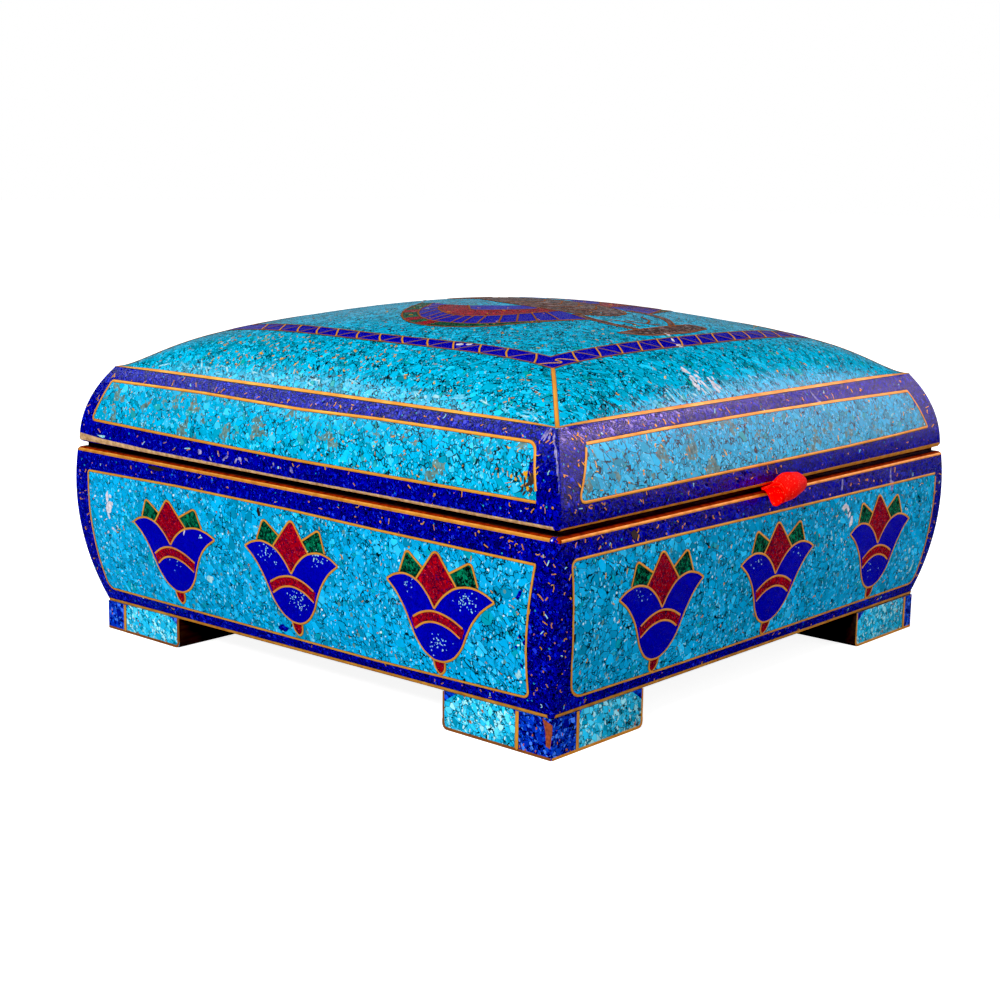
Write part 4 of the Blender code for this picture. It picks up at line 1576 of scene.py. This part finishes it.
# %% The feet
FOOT_SIDE = foot_high.x - foot_low.x
FOOT_TOP = foot_high.z + 0.28
FOOT_OUTER_HALF = -foot_low.x
FOOT_ROUND = 1.4
FOOT_ARRIS = 0.3
# The lowest part of a foot, which stays upright where its top follows the sunken line
FOOT_STILL = 4.0
UPRIGHT_WIDTH = 1.15
EDGING_WIDTH = 0.8
EDGING_Z = 0.42
# Distance of the upright wire from the corner on each side of the box, for the foot at each end
UPRIGHTS = {"left": (9.0, 12.0), "front": (10.7, 5.3), "right": (9.0, 9.0), "back": (9.0, 9.0)}
# Each foot: its signs in x and y, its inset from the corner, its lengths along x and y, the width
# of its inner upright, and its two outer faces as (side, end of that side)
FEET = {"foot_front_left": ((-1, -1), 0.0, (FOOT_SIDE + 2.3, FOOT_SIDE + 1.7), 0.6,
                            (("left", "end"), ("front", "start"))),
        "foot_front_right": ((1, -1), -0.55, (FOOT_SIDE, FOOT_SIDE), 0.6,
                             (("front", "end"), ("right", "start"))),
        "foot_back_left": ((-1, 1), 0.5, (FOOT_SIDE, FOOT_SIDE), 1.1,
                           (("back", "end"), ("left", "start"))),
        "foot_back_right": ((1, 1), 0.0, (FOOT_SIDE, FOOT_SIDE), 0.6,
                            (("right", "end"), ("back", "start")))}
# Where the inlay has broken away from the near foot's corner and left red-brown resin
LOST_INLAY = [(91.6, 11.1), (94.9, 9.8), (94.9, 7.6), (94.4, 3.3), (93.0, 3.6), (92.6, 8.0)]


def foot_face(side, end, corner, length, inner_width):
    """The stones and wires of one outer face, as flat drawings of (along, height, layer)."""
    stones, wires = bmesh.new(), bmesh.new()
    upright = corner - UPRIGHTS[side][0 if end == "start" else 1]
    inner_end = corner - length
    stone_top = FOOT_TOP - HAIR
    # Lapis next to the corner, and a small wedge of it at the inner end
    draw_plate(stones, [(upright, 0.2), (corner - 0.2, 0.2), (corner - 0.2, stone_top),
                        (upright - 1.6, stone_top), (upright, FOOT_TOP - 2.6)], -0.1)
    draw_plate(stones, [(inner_end + 0.4, stone_top), (inner_end + 0.4, FOOT_TOP - 3.4),
                        (inner_end + 2.2, FOOT_TOP - 2.0), (inner_end + 5.0, stone_top)], -0.12)
    draw_wire(wires, [(upright, 0.3), (upright, FOOT_TOP - 0.2)], UPRIGHT_WIDTH)
    inner = inner_end + inner_width / 2 + HAIR
    edging = eased([(corner - 0.3, EDGING_Z), (inner, EDGING_Z, FOOT_ROUND), (inner, 3.0)],
                   closed=False)
    metal = 0 if side == "front" else 2
    draw_wire(wires, edging, EDGING_WIDTH, material=metal, seam_width=0.0)
    draw_wire(wires, [(inner, 2.0), (inner, stone_top)], inner_width, material=metal, seam_width=0.0)
    if (side, end) == ("left", "end"):
        draw_plate(stones, LOST_INLAY, -0.06, 1)
    for bm in (stones, wires):
        bmesh.ops.scale(bm, verts=bm.verts, vec=(-1 if end == "start" else 1, 1, 1))
        onto_wall(bm, side, lambda z: corner)
        sink_top(bm)
    return stones, wires


def sink_top(bm):
    """Lower the top of a foot to the tray's sunken foot line."""
    for vert in bm.verts:
        x, y, z = vert.co
        share = min(1.0, max(0.0, z - FOOT_STILL) / (FOOT_TOP - FOOT_STILL))
        vert.co.z = z - foot_line_drop(x, y) * share


for node, (signs, inset, lengths, inner_width, faces) in FEET.items():
    half = FOOT_OUTER_HALF - inset
    middle = [sign * (half - length / 2) for sign, length in zip(signs, lengths)]
    block = bmesh.new()
    bmesh.ops.create_cube(block, size=1.0)
    bmesh.ops.scale(block, verts=block.verts,
                    vec=(lengths[0] + 2 * GROUND, lengths[1] + 2 * GROUND, FOOT_TOP))
    bmesh.ops.translate(block, verts=block.verts, vec=(*middle, FOOT_TOP / 2))
    # The inner ends of the outer faces are well rounded at the foot, and all other edges a little
    inner_feet = [e for e in block.edges if all(v.co.z < 0.1 for v in e.verts)
                  and any(all(abs(v.co[k]) < half - lengths[k] / 2 for v in e.verts) for k in (0, 1))]
    round_edges(block, inner_feet, FOOT_ROUND, 3)
    sharp = [e for e in block.edges if e.calc_face_angle(0.0) > math.radians(50)]
    round_edges(block, sharp, FOOT_ARRIS, 2)
    for face in block.faces:
        outward = max(face.normal.x * signs[0], face.normal.y * signs[1])
        face.material_index = 0 if outward > 0.5 else 1
    sink_top(block)
    shell = finish_piece(node + "_block", block, [turquoise_feet, wood])
    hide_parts(node)
    drawings = [foot_face(side, end, half, lengths[1 if side in ("left", "right") else 0], inner_width)
                for side, end in faces]
    corner_stones, corner_wires = zip(*drawings)
    finish_piece(node + "_lapis", gathered(corner_stones), [lapis_feet, rust])
    finish_piece(node + "_wires", gathered(corner_wires), [brass, seam, copper_and_shaded_wire], 40.0)

# %% [markdown]
# ## The ribbon
# A short loop of red ribbon comes out of the joint, to lift the lid by. Its two layers lie together
# in the joint and part outside it. At the left the lower layer sags and curls back up; at the right
# the loop is nearly flat. A flat grid is the ribbon before it is bent: its sections at the left
# edge, near the middle and at the right edge are drawn, and each row of the grid takes its own
# blend of them. Solidify gives the cloth its thickness, and its inside a material of its own whose
# painted glow is strong on the lower layer.

# %% The ribbon
TAB_MIDDLE = (tab_low.x + tab_high.x) / 2
TAB_WIDTH = tab_high.x - tab_low.x
TAB_THICK = 0.25
TAB_MOUTH = 101.2
JOINT_MIDDLE = RIM_Z + 0.6
TAB_ROWS = 14
TAB_STEPS = 48
TAB_MIDDLE_SHARE = 0.45
# The length of the ribbon on its own map, where its width is 1
TAB_MAP_LENGTH = 3.0
# Sections as (out from the mouth, up from the joint), from the lower tail round to the upper one
TAB_LEFT = [(-1.2, -0.17), (0, -0.2), (1.3, -1.8), (2.1, -3.3), (3.0, -4.2), (4.2, -4.1), (5.3, -3.2),
            (6.0, -1.6), (5.8, -0.4), (4.9, 0.9), (3.4, 1.0), (1.5, 0.6), (0, 0.15), (-1.2, 0.17)]
TAB_MIDWAY = [(-2.6, -0.17), (0, -0.15), (1.8, -1.6), (3.4, -2.8), (5.0, -2.9), (6.6, -2.0),
              (7.6, -0.6), (7.85, 0.9), (7.3, 2.6), (5.6, 4.4), (3.8, 4.85), (1.5, 4.1), (0.2, 1.6),
              (-2.6, 0.17)]
TAB_RIGHT = [(-2.6, -0.17), (0, -0.15), (1.5, -0.9), (3.0, -1.6), (4.2, -1.6), (5.2, -0.9), (5.9, 0.3),
             (6.1, 1.5), (5.5, 2.6), (4.0, 3.5), (2.4, 3.9), (1.0, 3.0), (0, 0.15), (-2.6, 0.17)]
# How fast each layer leaves its left edge: the upper one rises at once
LOWER_EASE = 0.6
UPPER_EASE = 0.36


def tab_point(sections, across, along):
    """Where a point of the flat ribbon comes to lie, as (out, up)."""
    first, second, third = (share_of(section, along) for section in sections)
    if across < TAB_MIDDLE_SHARE:
        ease = LOWER_EASE + (UPPER_EASE - LOWER_EASE) * min(1.0, max(0.0, along * 4 - 2))
        return first.lerp(second, (across / TAB_MIDDLE_SHARE) ** ease)
    return second.lerp(third, (across - TAB_MIDDLE_SHARE) / (1 - TAB_MIDDLE_SHARE))


ribbon = bmesh.new()
bmesh.ops.create_grid(ribbon, x_segments=TAB_ROWS, y_segments=TAB_STEPS, size=0.5)
own_map = ribbon.loops.layers.uv.new("ribbon")
for face in ribbon.faces:
    for loop in face.loops:
        loop[own_map].uv = (loop.vert.co.x + 0.5, (loop.vert.co.y + 0.5) * TAB_MAP_LENGTH)
sections = [smooth_line(points, 5) for points in (TAB_LEFT, TAB_MIDWAY, TAB_RIGHT)]
for vert in ribbon.verts:
    across = min(1.0, max(0.0, vert.co.x + 0.5))
    out, up = tab_point(sections, across, min(0.9999, max(0.0, vert.co.y + 0.5)))
    out = min(out, -(tab_low.y - CENTRE_Y) - TAB_MOUTH - TAB_THICK / 2)
    vert.co = (TAB_MIDDLE + (across - 0.5) * (TAB_WIDTH - 0.02), -(TAB_MOUTH + out), JOINT_MIDDLE + up)
ribbon_loop = finish_piece("ribbon_loop", ribbon, [red_ribbon, ribbon_inside], 60.0)
cloth = ribbon_loop.modifiers.new("cloth", "SOLIDIFY")
cloth.thickness = TAB_THICK * MM
cloth.offset = 0.0
cloth.material_offset = 1
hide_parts("pull_tab")

# %% [markdown]
# ## The stage
# A pale floor and soft light from large panels, as for a picture in a catalogue. The world is pale
# for what lights the box, and darker for what mirrors in its polish, as if black card stood round
# it. The panels then make the few soft sheens that the stone shows.

# %% The stage
BOX_MIDDLE = (0.0, 0.0, 0.05)
WHITE = (1.0, 1.0, 1.0)
FLOOR_HALF = 6.0
# How bright the floor is, and how bright it seems in the polish
FLOOR_BRIGHTNESS = 0.9
FLOOR_MIRRORED = 0.08
WORLD_BRIGHTNESS = 0.24
WORLD_MIRRORED = 0.02


def add_panel(name, place, size, power, color=WHITE, only_mirrored=False):
    """A panel of light that faces the box. A card is one that shows only in the polish."""
    data = bpy.data.lights.new(name, "AREA")
    data.shape = "RECTANGLE"
    data.size, data.size_y = size
    data.energy = power
    data.color = color
    lamp = bpy.data.objects.new(name, data)
    lamp.location = place
    lamp.rotation_euler = (Vector(place) - Vector(BOX_MIDDLE)).to_track_quat("Z", "Y").to_euler()
    lamp.visible_diffuse = not only_mirrored
    lamp.visible_camera = False
    bpy.context.scene.collection.objects.link(lamp)


def add_floor():
    bm = bmesh.new()
    bmesh.ops.create_grid(bm, x_segments=1, y_segments=1, size=FLOOR_HALF)
    mesh = bpy.data.meshes.new("floor")
    bm.to_mesh(mesh)
    bm.free()
    floor = bpy.data.objects.new("floor", mesh)
    bpy.context.scene.collection.objects.link(floor)
    material, tree, shader, place = new_material("pale_floor")
    path = add_node(tree, "LightPath")
    brightness = between(tree, path.outputs["Is Glossy Ray"], 0.0, 1.0, FLOOR_BRIGHTNESS,
                         FLOOR_MIRRORED)
    seen = between(tree, path.outputs["Is Camera Ray"], 0.0, 1.0, 0.0, FLOOR_BRIGHTNESS)
    set_shader(tree, shader, {
        "Base Color": toned(tree, WHITE, brightness), "Roughness": 0.9,
        "Specular IOR Level": 0.0, "Emission Color": WHITE, "Emission Strength": seen})
    mesh.materials.append(material)


def set_world():
    world = bpy.data.worlds.new("studio")
    bpy.context.scene.world = world
    world.use_nodes = True
    tree = world.node_tree
    path = add_node(tree, "LightPath")
    strength = between(tree, path.outputs["Is Glossy Ray"], 0.0, 1.0, WORLD_BRIGHTNESS,
                       WORLD_MIRRORED)
    set_shader(tree, tree.nodes["Background"], {
        "Strength": mix_values(tree, path.outputs["Is Camera Ray"], strength, 1.0),
        "Color": WHITE})


add_floor()
set_world()
add_panel("key", (-1.2, -0.32, 1.0), (0.6, 0.6), 19.0)
add_panel("fill", (0.5, -1.3, 0.7), (0.8, 0.8), 2.0)
add_panel("sky", (0.1, 0.0, 1.6), (0.8, 0.8), 8.0)
add_panel("side_card", (1.05, -0.65, 0.5), (1.0, 0.9), 5.2, (1.0, 0.78, 0.95), True)
add_panel("high_side_card", (0.97, -0.59, 0.86), (0.5, 0.24), 4.4, (0.88, 0.6, 1.0), True)
add_panel("back_card", (-0.5, 1.04, 1.03), (0.54, 0.6), 4.1, (0.8, 0.86, 1.0), True)
add_panel("far_card", (1.1, 0.97, 0.33), (1.5, 0.4), 0.4, WHITE, True)
view = bpy.context.scene.view_settings
view.view_transform = "Standard"
# Black shade is taken down to full black
view.use_curve_mapping = True
view.curve_mapping.black_level = (0.008, 0.008, 0.008)
view.curve_mapping.update()
